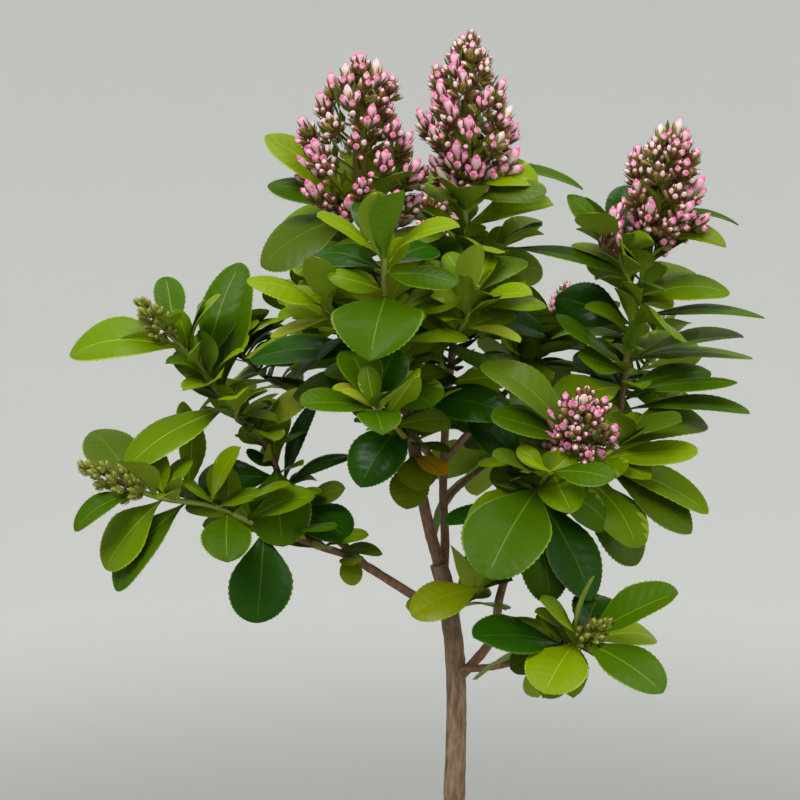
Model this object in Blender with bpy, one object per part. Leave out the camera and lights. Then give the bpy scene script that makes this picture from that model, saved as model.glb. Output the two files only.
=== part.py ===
"""A potted standard escallonia: a clear straight stem in a plain nursery pot, with a loose crown.

Metres, +Z up, the origin at the centre of the pot's flat underside. Compass bearings are seen from
above in degrees, 0 along +X and 90 along +Y. A rise is an angle above the level, also in degrees.
"""

import math
import random
from dataclasses import dataclass

import bmesh
import bpy
import numpy as np
from mathutils import Quaternion, Vector
from mathutils.bvhtree import BVHTree

# Driving sizes
POT_HEIGHT = 0.170
POT_FOOT_RADIUS = 0.072
POT_RIM_RADIUS = 0.095
POT_WALL = 0.0024
POT_FLOOR = 0.0030
RIM_DEPTH = 0.013
RIM_STEP = 0.0035
POT_SIDES = 28
DRAIN_RADIUS = 0.006
DRAIN_RING_RADIUS = 0.052
DRAINS = 6
DRAIN_SIDES = 6
SOIL_TOP = 0.150
SOIL_CROWN = 0.003
GAP = 0.0003
FLARE_HEIGHT = 0.010
TRUNK_SIDES = 10
BOUGH_SIDES = 6

FORK_HEIGHT = 0.522
GOLDEN_ANGLE = 137.5
SEED = 4170

# How a leaf's blade is made: shares of its length and half-width at its sides, widest past its middle
SEEN_SIDES = ((0.38, 0.86), (0.78, 0.92))
RING_SIDES = ((0.60, 1.10),)
LEAF_RIDGE = 0.36
FACE_TURN = 0.5
CROWN_AXIS = (-0.005, 0.025)
LEAF_ARCH = 0.055
LEAF_FOLD = 0.10
LEAF_THICKNESS = 0.016
LEAF_LEAST_THICKNESS = 0.0006
LEAF_SINK = 0.3
LEAF_WIDTH = 0.46
CLEARANCE = 0.0007

# How a flower head is made: its heart's share of its width, and a bud spray's width to its length
HEART_SHARE = 0.45
SPRAY_WIDTH = 0.62


def bearing(compass, rise):
    """The unit vector with this compass bearing and rise."""
    turn, lift = math.radians(compass), math.radians(rise)
    return Vector((math.cos(lift) * math.cos(turn), math.cos(lift) * math.sin(turn), math.sin(lift)))


def mix(low, high, share):
    return low + (high - low) * share


@dataclass(frozen=True)
class Leaf:
    """One leaf: where along its shoot it springs, where its tip points, its length and its width.

    Its upper side turns a little to the level direction it faces.
    """

    at: float
    compass: float
    rise: float
    length: float
    width: float = LEAF_WIDTH
    roll: float = 0.0
    faces: tuple = (0.0, -1.0)


@dataclass(frozen=True)
class Ring:
    """Leaves set round a shoot one golden angle apart, closer together towards its tip."""

    count: int
    start: float = 0.15
    first: float = 0.0
    length: tuple = (0.040, 0.024)
    rise: tuple = (-5.0, 55.0)


@dataclass(frozen=True)
class Head:
    """A cone of flower buds that ends a shoot, on the same stem."""

    compass: float
    rise: float
    length: float
    width: float
    sprays: int
    spray_length: float = 0.013


@dataclass(frozen=True)
class Shoot:
    """A leafy stem. A side shoot's first point lies on the stem that it leaves."""

    path: tuple
    radius: tuple = (0.0013, 0.0009)
    leaves: tuple = ()
    ring: Ring = None
    head: Head = None
    twigs: int = 0
    sides: int = 3


@dataclass(frozen=True)
class Mass:
    """One mass of foliage: a main shoot, the shoots that leave it, and how far it reaches from them."""

    name: str
    shoots: tuple
    reach: float = 0.064


@dataclass(frozen=True)
class Limb:
    """The trunk or a bough, from its root to its tip, with its radius at both."""

    name: str
    path: tuple
    radius: tuple
    flare: float = 0.0


LIMBS = (
    Limb("trunk", ((0.004, 0.003, 0.1503), (0.003, 0.002, 0.240), (-0.001, 0.003, 0.340),
                   (0.001, 0.000, 0.452), (-0.003, 0.000, 0.500), (-0.008, 0.000, FORK_HEIGHT)),
         (0.0072, 0.0044), flare=0.0040),
    Limb("bough_front", ((-0.0080, 0.000, FORK_HEIGHT + GAP), (-0.014, -0.008, 0.547),
                         (-0.020, -0.014, 0.578)), (0.0030, 0.0025)),
    Limb("bough_behind", ((-0.0055, 0.000, 0.514), (-0.0050, 0.005, 0.535), (-0.006, 0.008, 0.562),
                          (-0.004, 0.012, 0.601)), (0.0023, 0.0019)),
    Limb("bough_left", ((-0.001, 0.000, 0.493), (-0.027, -0.005, 0.512), (-0.050, -0.013, 0.529)),
         (0.0025, 0.0020)),
    Limb("bough_left_riser", ((-0.042, -0.010, 0.523), (-0.057, -0.006, 0.536), (-0.070, -0.006, 0.546)),
         (0.0019, 0.0018)),
    Limb("bough_front_rear", ((-0.0165, -0.010, 0.562), (-0.021, 0.010, 0.592), (-0.031, 0.020, 0.635)),
         (0.0021, 0.0018)),
    Limb("bough_right", ((0.001, 0.000, 0.462), (0.018, -0.004, 0.485), (0.021, -0.010, 0.507),
                         (0.026, -0.018, 0.529), (0.032, -0.030, 0.557)), (0.0024, 0.0018)),
    Limb("bough_right_side", ((0.0265, -0.019, 0.531), (0.040, -0.012, 0.546), (0.050, -0.006, 0.556)),
         (0.0018, 0.0016)),
    Limb("bough_right_top", ((0.0235, -0.014, 0.518), (0.038, 0.008, 0.534), (0.058, 0.022, 0.553),
                             (0.074, 0.026, 0.570), (0.080, 0.024, 0.586)), (0.0019, 0.0017)),
    Limb("bough_right_low", ((0.001, -0.001, 0.468), (0.021, -0.020, 0.477), (0.037, -0.040, 0.489)),
         (0.0018, 0.0015)),
    Limb("bough_back_left", ((-0.0057, 0.008, 0.566), (-0.024, 0.032, 0.584), (-0.042, 0.054, 0.602)),
         (0.0018, 0.0015)),
    Limb("bough_back", ((-0.0052, 0.0095, 0.584), (-0.006, 0.036, 0.606), (-0.008, 0.058, 0.622)),
         (0.0018, 0.0015)),
    Limb("bough_back_right", ((-0.0055, 0.0085, 0.572), (0.014, 0.034, 0.588), (0.030, 0.056, 0.600)),
         (0.0018, 0.0015)),
    Limb("bough_left_back", ((-0.022, 0.030, 0.582), (-0.054, 0.042, 0.594), (-0.084, 0.048, 0.600)),
         (0.0016, 0.0014)),
    Limb("bough_right_back", ((0.012, 0.031, 0.586), (0.048, 0.052, 0.588), (0.078, 0.060, 0.592)),
         (0.0016, 0.0014)),
    Limb("bough_back_low", ((-0.0060, 0.007, 0.552), (0.006, 0.032, 0.556), (0.018, 0.054, 0.560)),
         (0.0016, 0.0014)),
)

MASSES = (
    Mass("foliage_left_low", (
        Shoot(((-0.050, -0.013, 0.529), (-0.062, -0.018, 0.535), (-0.075, -0.022, 0.541),
               (-0.094, -0.030, 0.550), (-0.115, -0.036, 0.561), (-0.136, -0.042, 0.566),
               (-0.149, -0.045, 0.571)), (0.0019, 0.0013),
              (Leaf(0.43, 270, -70, 0.045, 0.62), Leaf(0.60, 270, -25, 0.034, 0.64),
               Leaf(0.88, 195, -46, 0.042, 0.66), Leaf(0.78, 205, -40, 0.052, 0.44),
               Leaf(1.00, 200, -20, 0.034, 0.42), Leaf(0.99, 135, 38, 0.040, 0.56),
               Leaf(0.79, 90, 55, 0.052, 0.36, 50), Leaf(0.83, 160, 35, 0.017, 0.50),
               Leaf(0.04, 300, -45, 0.017, 0.62), Leaf(0.02, 285, 0, 0.014, 0.80),
               Leaf(0.11, 255, 25, 0.016, 0.70)),
              Ring(7, 0.38, 60, (0.026, 0.020), (10, 40)), Head(188, 28, 0.028, 0.017, 13, 0.009),
              sides=4),)),
    Mass("foliage_left_up", (
        Shoot(((-0.070, -0.006, 0.546), (-0.082, -0.007, 0.560), (-0.088, -0.008, 0.577),
               (-0.095, -0.010, 0.589), (-0.105, -0.014, 0.601), (-0.115, -0.018, 0.615),
               (-0.125, -0.020, 0.630), (-0.136, -0.021, 0.641)), (0.0018, 0.0012),
              (Leaf(0.27, 275, -40, 0.042, 0.68), Leaf(0.09, 325, -20, 0.032, 0.80),
               Leaf(0.22, 185, 0, 0.039, 0.60), Leaf(0.90, 185, 6, 0.053, 0.58),
               Leaf(0.95, 105, 45, 0.038, 0.36), Leaf(0.92, 185, 5, 0.032, 0.30, 60),
               Leaf(0.99, 275, 40, 0.020, 0.60), Leaf(0.76, 220, 30, 0.024, 0.50),
               Leaf(0.65, 60, 72, 0.058, 0.50, -20), Leaf(0.77, 60, 65, 0.056, 0.36),
               Leaf(0.75, 245, 80, 0.024, 0.55), Leaf(0.72, 240, 5, 0.024, 0.38),
               Leaf(0.72, 320, 50, 0.026, 0.42), Leaf(0.43, 10, 35, 0.037, 0.48),
               Leaf(0.60, 215, -20, 0.058, 0.40), Leaf(0.18, 30, 65, 0.044, 0.30),
               Leaf(0.18, 30, 20, 0.040, 0.30), Leaf(0.27, 205, 30, 0.017, 0.62)),
              Ring(8, 0.20, 100, (0.026, 0.018), (15, 50)), Head(200, 50, 0.020, 0.017, 10, 0.009),
              sides=4),
        Shoot(((-0.100, -0.0115, 0.594), (-0.104, -0.022, 0.600), (-0.102, -0.028, 0.608)),
              ring=Ring(7, 0.45, 200, (0.022, 0.013), (5, 65))))),
    Mass("foliage_front", (
        Shoot(((-0.020, -0.014, 0.578), (-0.025, -0.024, 0.609), (-0.031, -0.038, 0.640),
               (-0.034, -0.050, 0.668), (-0.034, -0.054, 0.680)), (0.0024, 0.0014),
              (Leaf(1.00, 215, 35, 0.042, 0.42), Leaf(0.95, 145, 10, 0.042, 0.46),
               Leaf(1.00, 110, 45, 0.038, 0.44), Leaf(1.00, 290, 60, 0.040, 0.42),
               Leaf(0.98, 330, 35, 0.042, 0.44), Leaf(0.96, 55, 10, 0.038, 0.50),
               Leaf(0.93, 330, 0, 0.036, 0.50), Leaf(0.83, 265, -20, 0.046, 0.82),
               Leaf(0.22, 230, -40, 0.042, 0.62), Leaf(0.30, 340, 0, 0.054, 0.45),
               Leaf(0.02, 275, -25, 0.024, 0.75), Leaf(0.02, 260, -50, 0.028, 0.62),
               Leaf(0.02, 310, -15, 0.022, 0.50)),
              Ring(12, 0.12, 20, (0.052, 0.020), (-10, 70)), sides=4),
        Shoot(((-0.0255, -0.0255, 0.612), (-0.040, -0.032, 0.632), (-0.052, -0.038, 0.646),
               (-0.064, -0.041, 0.658)), (0.0015, 0.0010),
              (Leaf(0.93, 220, 25, 0.044, 0.45), Leaf(0.90, 105, 50, 0.026, 0.50),
               Leaf(0.83, 210, -10, 0.034, 0.30), Leaf(0.65, 100, 40, 0.040, 0.45),
               Leaf(0.41, 170, 0, 0.058, 0.38), Leaf(0.65, 160, -35, 0.036, 0.45)),
              Ring(4, 0.45, 300, (0.026, 0.018), (20, 60))),
        Shoot(((-0.021, -0.0155, 0.584), (-0.029, -0.050, 0.602), (-0.039, -0.075, 0.616)),
              (0.0015, 0.0010),
              (Leaf(1.00, 110, 40, 0.036, 0.50), Leaf(1.00, 70, 40, 0.036, 0.50),
               Leaf(0.90, 315, 40, 0.032, 0.62), Leaf(1.00, 210, 10, 0.036, 0.52),
               Leaf(1.00, 215, 40, 0.020, 0.38), Leaf(0.95, 275, -5, 0.026, 0.70)),
              Ring(3, 0.45, 20, (0.028, 0.020), (10, 40))))),
    Mass("foliage_top_left", (
        Shoot(((-0.031, 0.020, 0.635), (-0.041, 0.018, 0.664), (-0.046, 0.014, 0.694)), (0.0018, 0.0017),
              (Leaf(1.00, 180, 40, 0.058, 0.42), Leaf(1.00, 192, -22, 0.054, 0.56),
               Leaf(1.00, 180, 20, 0.046, 0.40)),
              Ring(17, 0.08, 30, (0.052, 0.040), (-5, 35)), Head(275, 83, 0.072, 0.074, 34), sides=4),)),
    Mass("foliage_top", (
        Shoot(((-0.004, 0.012, 0.601), (0.000, 0.014, 0.641), (0.003, 0.016, 0.674),
               (0.005, 0.018, 0.712)), (0.0019, 0.0015),
              (Leaf(0.81, 95, 70, 0.042, 0.40), Leaf(0.85, 305, 70, 0.028, 0.26),
               Leaf(0.90, 325, 5, 0.044, 0.30, 40), Leaf(1.00, 10, -5, 0.058, 0.28),
               Leaf(0.46, 0, 0, 0.040, 0.42), Leaf(0.31, 10, 0, 0.046, 0.45)),
              Ring(19, 0.12, 150, (0.052, 0.038), (-5, 35)), Head(75, 86, 0.063, 0.056, 28), sides=4),
        Shoot(((0.003, 0.016, 0.664), (0.012, 0.018, 0.668), (0.022, 0.020, 0.675)), (0.0013, 0.0009),
              (Leaf(1.00, 315, 30, 0.028, 0.42), Leaf(1.00, 350, -10, 0.058, 0.32)),
              Ring(3, 0.50, 60, (0.030, 0.024), (0, 40))),
        Shoot(((-0.0030, 0.0125, 0.614), (-0.008, -0.005, 0.629), (0.002, -0.022, 0.644),
               (0.009, -0.030, 0.664)), (0.0015, 0.0010),
              (Leaf(0.93, 55, 25, 0.040, 0.50), Leaf(0.79, 320, 25, 0.036, 0.45),
               Leaf(0.66, 325, -5, 0.034, 0.34), Leaf(0.74, 270, 60, 0.030, 0.26),
               Leaf(0.13, 220, 20, 0.030, 0.45), Leaf(0.16, 110, 40, 0.034, 0.36)),
              Ring(4, 0.50, 10, (0.030, 0.022), (10, 50))))),
    Mass("foliage_right_mid", (
        Shoot(((0.032, -0.030, 0.557), (0.042, -0.042, 0.578), (0.050, -0.052, 0.590),
               (0.052, -0.056, 0.598)), (0.0018, 0.0014),
              (Leaf(1.00, 165, 45, 0.054, 0.44), Leaf(0.94, 185, 20, 0.040, 0.42),
               Leaf(0.27, 165, 50, 0.046, 0.50), Leaf(0.22, 330, -55, 0.056, 0.52),
               Leaf(0.06, 290, -45, 0.048, 0.46), Leaf(0.02, 220, 0, 0.048, 0.32)),
              Ring(11, 0.10, 80, (0.048, 0.026), (-35, 30)), Head(285, 55, 0.028, 0.042, 18, 0.011),
              sides=4),
        Shoot(((0.0340, -0.0325, 0.5615), (0.038, -0.056, 0.578), (0.040, -0.070, 0.586)), (0.0014, 0.0010),
              (Leaf(0.56, 235, -35, 0.056, 0.68), Leaf(0.92, 240, 30, 0.022, 0.62),
               Leaf(1.00, 325, 5, 0.034, 0.46)),
              Ring(5, 0.60, 100, (0.022, 0.014), (20, 60))))),
    Mass("foliage_right", (
        Shoot(((0.050, -0.006, 0.556), (0.060, -0.004, 0.566), (0.070, -0.001, 0.575),
               (0.079, 0.002, 0.581)), (0.0016, 0.0010),
              (Leaf(0.70, 330, 10, 0.050, 0.36), Leaf(0.91, 320, 30, 0.044, 0.50),
               Leaf(0.96, 20, 15, 0.050, 0.46), Leaf(0.66, 345, -20, 0.058, 0.36),
               Leaf(0.66, 340, -30, 0.056, 0.42), Leaf(0.58, 290, -60, 0.030, 0.50),
               Leaf(0.46, 325, -55, 0.050, 0.50), Leaf(0.61, 320, 0, 0.032, 0.46)),
              Ring(13, 0.20, 40, (0.050, 0.024), (-40, 50)), sides=4),)),
    Mass("foliage_right_top", (
        Shoot(((0.080, 0.024, 0.586), (0.084, 0.024, 0.619), (0.088, 0.022, 0.649),
               (0.093, 0.020, 0.671), (0.095, 0.018, 0.688)), (0.0017, 0.0015),
              (Leaf(0.63, 350, 10, 0.044, 0.46), Leaf(0.52, 350, 5, 0.063, 0.30),
               Leaf(0.31, 355, 15, 0.058, 0.34), Leaf(0.33, 5, 0, 0.062, 0.30),
               Leaf(0.49, 150, 18, 0.044, 0.50, -40), Leaf(0.28, 200, 35, 0.046, 0.44),
               Leaf(0.18, 120, 20, 0.038, 0.50), Leaf(0.26, 245, 25, 0.020, 0.62),
               Leaf(0.30, 300, 65, 0.032, 0.50), Leaf(0.15, 340, 10, 0.058, 0.28),
               Leaf(0.18, 20, 5, 0.050, 0.36), Leaf(0.07, 340, 5, 0.064, 0.26),
               Leaf(0.91, 340, 5, 0.036, 0.46), Leaf(1.00, 10, 5, 0.042, 0.28),
               Leaf(0.63, 40, 20, 0.040, 0.46), Leaf(0.67, 305, 60, 0.028, 0.36),
               Leaf(0.59, 315, 10, 0.022, 0.60)),
              Ring(9, 0.10, 230, (0.046, 0.032), (-5, 45)), Head(340, 76, 0.047, 0.050, 24, 0.012),
              sides=4),
        Shoot(((0.088, 0.022, 0.649), (0.079, 0.012, 0.669), (0.074, 0.008, 0.684)), (0.0013, 0.0009),
              (Leaf(0.69, 165, 48, 0.038, 0.52), Leaf(0.87, 210, 55, 0.028, 0.34),
               Leaf(0.78, 75, 50, 0.036, 0.42), Leaf(0.58, 275, 55, 0.020, 0.40)),
              Ring(2, 0.80, 20, (0.026, 0.022), (40, 60)), Head(40, 75, 0.014, 0.012, 4, 0.008)))),
    Mass("foliage_right_low", (
        Shoot(((0.037, -0.040, 0.489), (0.047, -0.062, 0.501), (0.052, -0.072, 0.506),
               (0.056, -0.078, 0.509)), (0.0015, 0.0011),
              (Leaf(0.66, 210, 15, 0.052, 0.52), Leaf(0.87, 245, -15, 0.042, 0.62),
               Leaf(0.98, 310, -10, 0.052, 0.40), Leaf(1.00, 345, 30, 0.050, 0.44),
               Leaf(0.94, 210, 50, 0.032, 0.52), Leaf(1.00, 30, -5, 0.044, 0.44),
               Leaf(0.90, 95, -65, 0.032, 0.42), Leaf(0.30, 110, -60, 0.034, 0.46),
               Leaf(0.95, 70, 20, 0.040, 0.46)),
              Ring(7, 0.15, 150, (0.040, 0.020), (-30, 40)), Head(330, 40, 0.017, 0.015, 9, 0.008),
              sides=4),)),
    Mass("foliage_sprig", (
        Shoot(((-0.002, -0.003, 0.498), (0.008, -0.018, 0.511), (0.013, -0.025, 0.518)), (0.0012, 0.0009),
              (Leaf(1.00, 205, -8, 0.038, 0.60), Leaf(0.90, 330, 30, 0.018, 0.50)),
              Ring(3, 0.40, 60, (0.020, 0.013), (0, 40))),)),
    Mass("foliage_back_left", (
        Shoot(((-0.042, 0.054, 0.602), (-0.058, 0.074, 0.622), (-0.066, 0.088, 0.646)), (0.0015, 0.0011),
              ring=Ring(15, 0.05, 20, (0.046, 0.026), (-20, 60)), head=Head(120, 75, 0.018, 0.015, 7, 0.008),
              twigs=2, sides=4),)),
    Mass("foliage_back", (
        Shoot(((-0.008, 0.058, 0.622), (-0.010, 0.076, 0.640), (-0.009, 0.090, 0.660)), (0.0015, 0.0013),
              ring=Ring(15, 0.05, 95, (0.048, 0.034), (-20, 50)), head=Head(95, 78, 0.036, 0.034, 12, 0.012),
              twigs=2, sides=4),)),
    Mass("foliage_back_right", (
        Shoot(((0.030, 0.056, 0.600), (0.044, 0.076, 0.610), (0.056, 0.092, 0.624)), (0.0015, 0.0011),
              ring=Ring(15, 0.05, 150, (0.046, 0.028), (-25, 55)), head=Head(70, 60, 0.024, 0.024, 9, 0.010),
              twigs=2, sides=4),)),
    Mass("foliage_left_back", (
        Shoot(((-0.084, 0.048, 0.600), (-0.102, 0.056, 0.610), (-0.114, 0.062, 0.626)), (0.0014, 0.0010),
              ring=Ring(14, 0.05, 60, (0.040, 0.024), (-20, 55)), twigs=1, sides=4),)),
    Mass("foliage_right_back", (
        Shoot(((0.078, 0.060, 0.592), (0.096, 0.074, 0.602), (0.108, 0.084, 0.618)), (0.0014, 0.0010),
              ring=Ring(15, 0.05, 110, (0.044, 0.026), (-25, 55)), head=Head(40, 60, 0.016, 0.014, 6, 0.008),
              twigs=1, sides=4),)),
    Mass("foliage_back_low", (
        Shoot(((0.018, 0.054, 0.560), (0.028, 0.074, 0.562), (0.034, 0.092, 0.570)), (0.0014, 0.0010),
              ring=Ring(14, 0.05, 200, (0.048, 0.028), (-45, 40)), twigs=1, sides=4),)),
)


class Stem:
    """A smooth curve through a limb's or a shoot's points, with a radius all along it."""

    STEPS = 6

    def __init__(self, points, radius, before=None, after=None, flare=0.0):
        ends = [Vector(point) for point in points]
        first = Vector(before) if before else ends[0] * 2 - ends[1]
        last = Vector(after) if after else ends[-1] * 2 - ends[-2]
        ends = [first, *ends, last]
        self.points = []
        for before, here, there, after in zip(ends, ends[1:], ends[2:], ends[3:]):
            for step in range(self.STEPS):
                t = step / self.STEPS
                self.points.append(0.5 * (2 * here + (there - before) * t
                                          + (2 * before - 5 * here + 4 * there - after) * t * t
                                          + (3 * here - before - 3 * there + after) * t ** 3))
        self.points.append(ends[-2])
        self.radius = radius
        self.flare = flare
        self.reached = [0.0]
        for here, there in zip(self.points, self.points[1:]):
            self.reached.append(self.reached[-1] + (there - here).length)

    @property
    def length(self):
        return self.reached[-1]

    def at(self, share):
        """The point, the direction and the radius at a share of the length."""
        wanted = min(max(share, 0.0), 1.0) * self.length
        index = 0
        while index < len(self.points) - 2 and self.reached[index + 1] < wanted:
            index += 1
        here, there = self.points[index], self.points[index + 1]
        along = (wanted - self.reached[index]) / (self.reached[index + 1] - self.reached[index])
        return here.lerp(there, along), (there - here).normalized(), mix(*self.radius, share)

    def foot(self, point, angle=0.0):
        """How much the flare adds to the radius near the foot, where it swells in three lobes."""
        height = (point - self.points[0]).length
        return self.flare * math.exp(-height / FLARE_HEIGHT) * (0.75 + 0.35 * math.cos(3 * angle))

    def within(self, point):
        """How far a point lies from the stem."""
        return min((point - near).length for near in self.points)

    def strays(self, point, near, after):
        """How far a point lies from the line between two others, in place or in the flare's swelling."""
        line = (after - near).normalized()
        offset = point - near
        along = offset.dot(line) / (after - near).length
        off_line = (offset - line * offset.dot(line)).length
        off_foot = abs(self.foot(point) - mix(self.foot(near), self.foot(after), along))
        return max(off_line, off_foot)

    def bends(self, start=0.0, limit=0.0004):
        """(point, share) where the stem turns or its radius changes, enough of them to draw it."""
        kept, passed = [], []
        for index, (point, reached) in enumerate(zip(self.points, self.reached)):
            if reached < start * self.length:
                continue
            passed.append(point)
            if kept and index < len(self.points) - 1:
                near, after = kept[-1][0], self.points[index + 1]
                if max(self.strays(skipped, near, after) for skipped in passed) < limit:
                    continue
            kept.append((point, reached / self.length))
            passed = []
        return kept


def tube(stem, sides, grow=0.0, start=0.0):
    """(points, faces) of a closed tapering tube along a stem, or along its part past a share."""
    line = stem.bends(start)
    across = (line[1][0] - line[0][0]).normalized().orthogonal().normalized()
    points, faces = [], []
    for index, (centre, share) in enumerate(line):
        before, after = line[max(index - 1, 0)][0], line[min(index + 1, len(line) - 1)][0]
        along = (after - before).normalized()
        across = (across - along * across.dot(along)).normalized()
        beyond = grow * ((index == len(line) - 1) - (index == 0))
        for side in range(sides):
            angle = 2 * math.pi * side / sides
            reach = mix(*stem.radius, share) + stem.foot(centre, angle) * bool(stem.flare) + grow
            points.append(centre + along * beyond + (Quaternion(along, angle) @ across) * reach)
    if stem.flare:
        for index in range(sides):
            points[index].z = line[0][0].z
    for ring in range(len(line) - 1):
        for side in range(sides):
            here, there = ring * sides + side, ring * sides + (side + 1) % sides
            faces.append((here, there, there + sides, here + sides))
    faces.append(tuple(reversed(range(sides))))
    faces.append(tuple(range(len(points) - sides, len(points))))
    return points, faces


def blade(root, leaf, radius, sides, grow=0.0, start=0.0):
    """(points, faces) of a leaf: a flat outline through its side points, round an arched ridge."""
    along = bearing(leaf.compass, leaf.rise)
    turn = math.radians(leaf.compass)
    upright = along.cross(Vector((-math.sin(turn), math.cos(turn), 0.0)))
    facing = Vector((*leaf.faces, 0.0)) * FACE_TURN
    upright = (upright + facing - along * facing.dot(along)).normalized()
    up = Quaternion(along, math.radians(leaf.roll)) @ upright
    across = up.cross(along)
    half = leaf.length * leaf.width / 2 + grow
    thick = max(leaf.length * LEAF_THICKNESS, LEAF_LEAST_THICKNESS) / 2 + grow
    arch = 4 * LEAF_ARCH * leaf.length

    def place(share, side, lift=0.0):
        bulge = arch * share * (1 - share) + abs(side) * half * LEAF_FOLD
        return root + along * (leaf.length * share) + across * (side * half) + up * (bulge + lift)

    sink = radius * LEAF_SINK if start == 0 else -start * leaf.length
    points = [root - along * sink, *(place(share, -side) for share, side in sides),
              place(1 + grow / leaf.length, 0), *(place(share, side) for share, side in reversed(sides)),
              place(LEAF_RIDGE, 0, thick), place(LEAF_RIDGE, 0, -thick)]
    faces, round_it = [], len(points) - 2
    for here in range(round_it):
        there = (here + 1) % round_it
        faces.append((here, there, round_it + 1))
        faces.append((there, here, round_it))
    return points, faces


def spindle(root, tip, radius):
    """(points, faces) of a bud spray as eight faces, widest past its middle."""
    along = (tip - root).normalized()
    across = along.orthogonal().normalized()
    middle = root.lerp(tip, 0.68)
    points = [root, *(middle + (Quaternion(along, math.pi / 2 * k) @ across) * radius for k in range(4)), tip]
    faces = []
    for side in range(4):
        here, there = 1 + side, 1 + (side + 1) % 4
        faces.append((0, there, here))
        faces.append((here, there, 5))
    return points, faces


def cone_width(share):
    """How wide a flower head is at a share of its height, as a share of its full width."""
    return math.sqrt(max(0.0, min(1.0, (share + 0.10) / 0.28))) * (1 - 0.70 * share * share)


def turned_on(root, axis, rings, sides):
    """(points, faces) of a closed shape turned on an axis through (height, radius) rings."""
    across = axis.orthogonal().normalized()
    points, faces = [], []
    for height, radius in rings:
        for side in range(sides):
            spoke = Quaternion(axis, 2 * math.pi * side / sides) @ across
            points.append(root + axis * height + spoke * radius)
    for ring in range(len(rings) - 1):
        for side in range(sides):
            here, there = ring * sides + side, ring * sides + (side + 1) % sides
            faces.append((here, there, there + sides, here + sides))
    faces.append(tuple(reversed(range(sides))))
    faces.append(tuple(range(len(points) - sides, len(points))))
    return points, faces


def head_hull(root, head):
    """(points, faces) of the space that a flower head fills."""
    levels = (0.0, 0.2, 0.55, 1.0)
    rings = [(level * head.length, head.width / 2 * cone_width(level)) for level in levels]
    return turned_on(root, bearing(head.compass, head.rise), rings, 8)


def heart(root, head, radius):
    """(points, faces) of the close-set stalks inside a flower head."""
    levels = (0.10, 0.30, 0.62)
    rings = [(level * head.length, head.width / 2 * cone_width(level) * HEART_SHARE) for level in levels]
    rings = [(-radius, radius * 0.8), *rings, (head.length * 0.92, radius * 0.6)]
    return turned_on(root, bearing(head.compass, head.rise), rings, 5)


def radius_of_tip(stem):
    return stem.radius[1] * 0.8


class Space:
    """Everything placed so far, by owner, so that a new piece can be kept clear of it."""

    def __init__(self):
        self.owners = []
        self.trees = []
        self.lows = []
        self.highs = []

    def add(self, owner, shape):
        points, faces = shape
        self.owners.append(owner)
        self.trees.append(BVHTree.FromPolygons(points, faces))
        corners = np.array(points)
        self.lows.append(corners.min(axis=0))
        self.highs.append(corners.max(axis=0))

    def blocked(self, shape, by):
        """Whether a shape meets anything whose owner the function by(owner) accepts."""
        points, faces = shape
        corners = np.array(points)
        low, high = corners.min(axis=0), corners.max(axis=0)
        apart = (np.array(self.lows) > high).any(axis=1) | (np.array(self.highs) < low).any(axis=1)
        near = [index for index in np.flatnonzero(~apart) if by(self.owners[index])]
        if not near:
            return False
        tree = BVHTree.FromPolygons(points, faces)
        return any(tree.overlap(self.trees[index]) for index in near)


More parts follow.
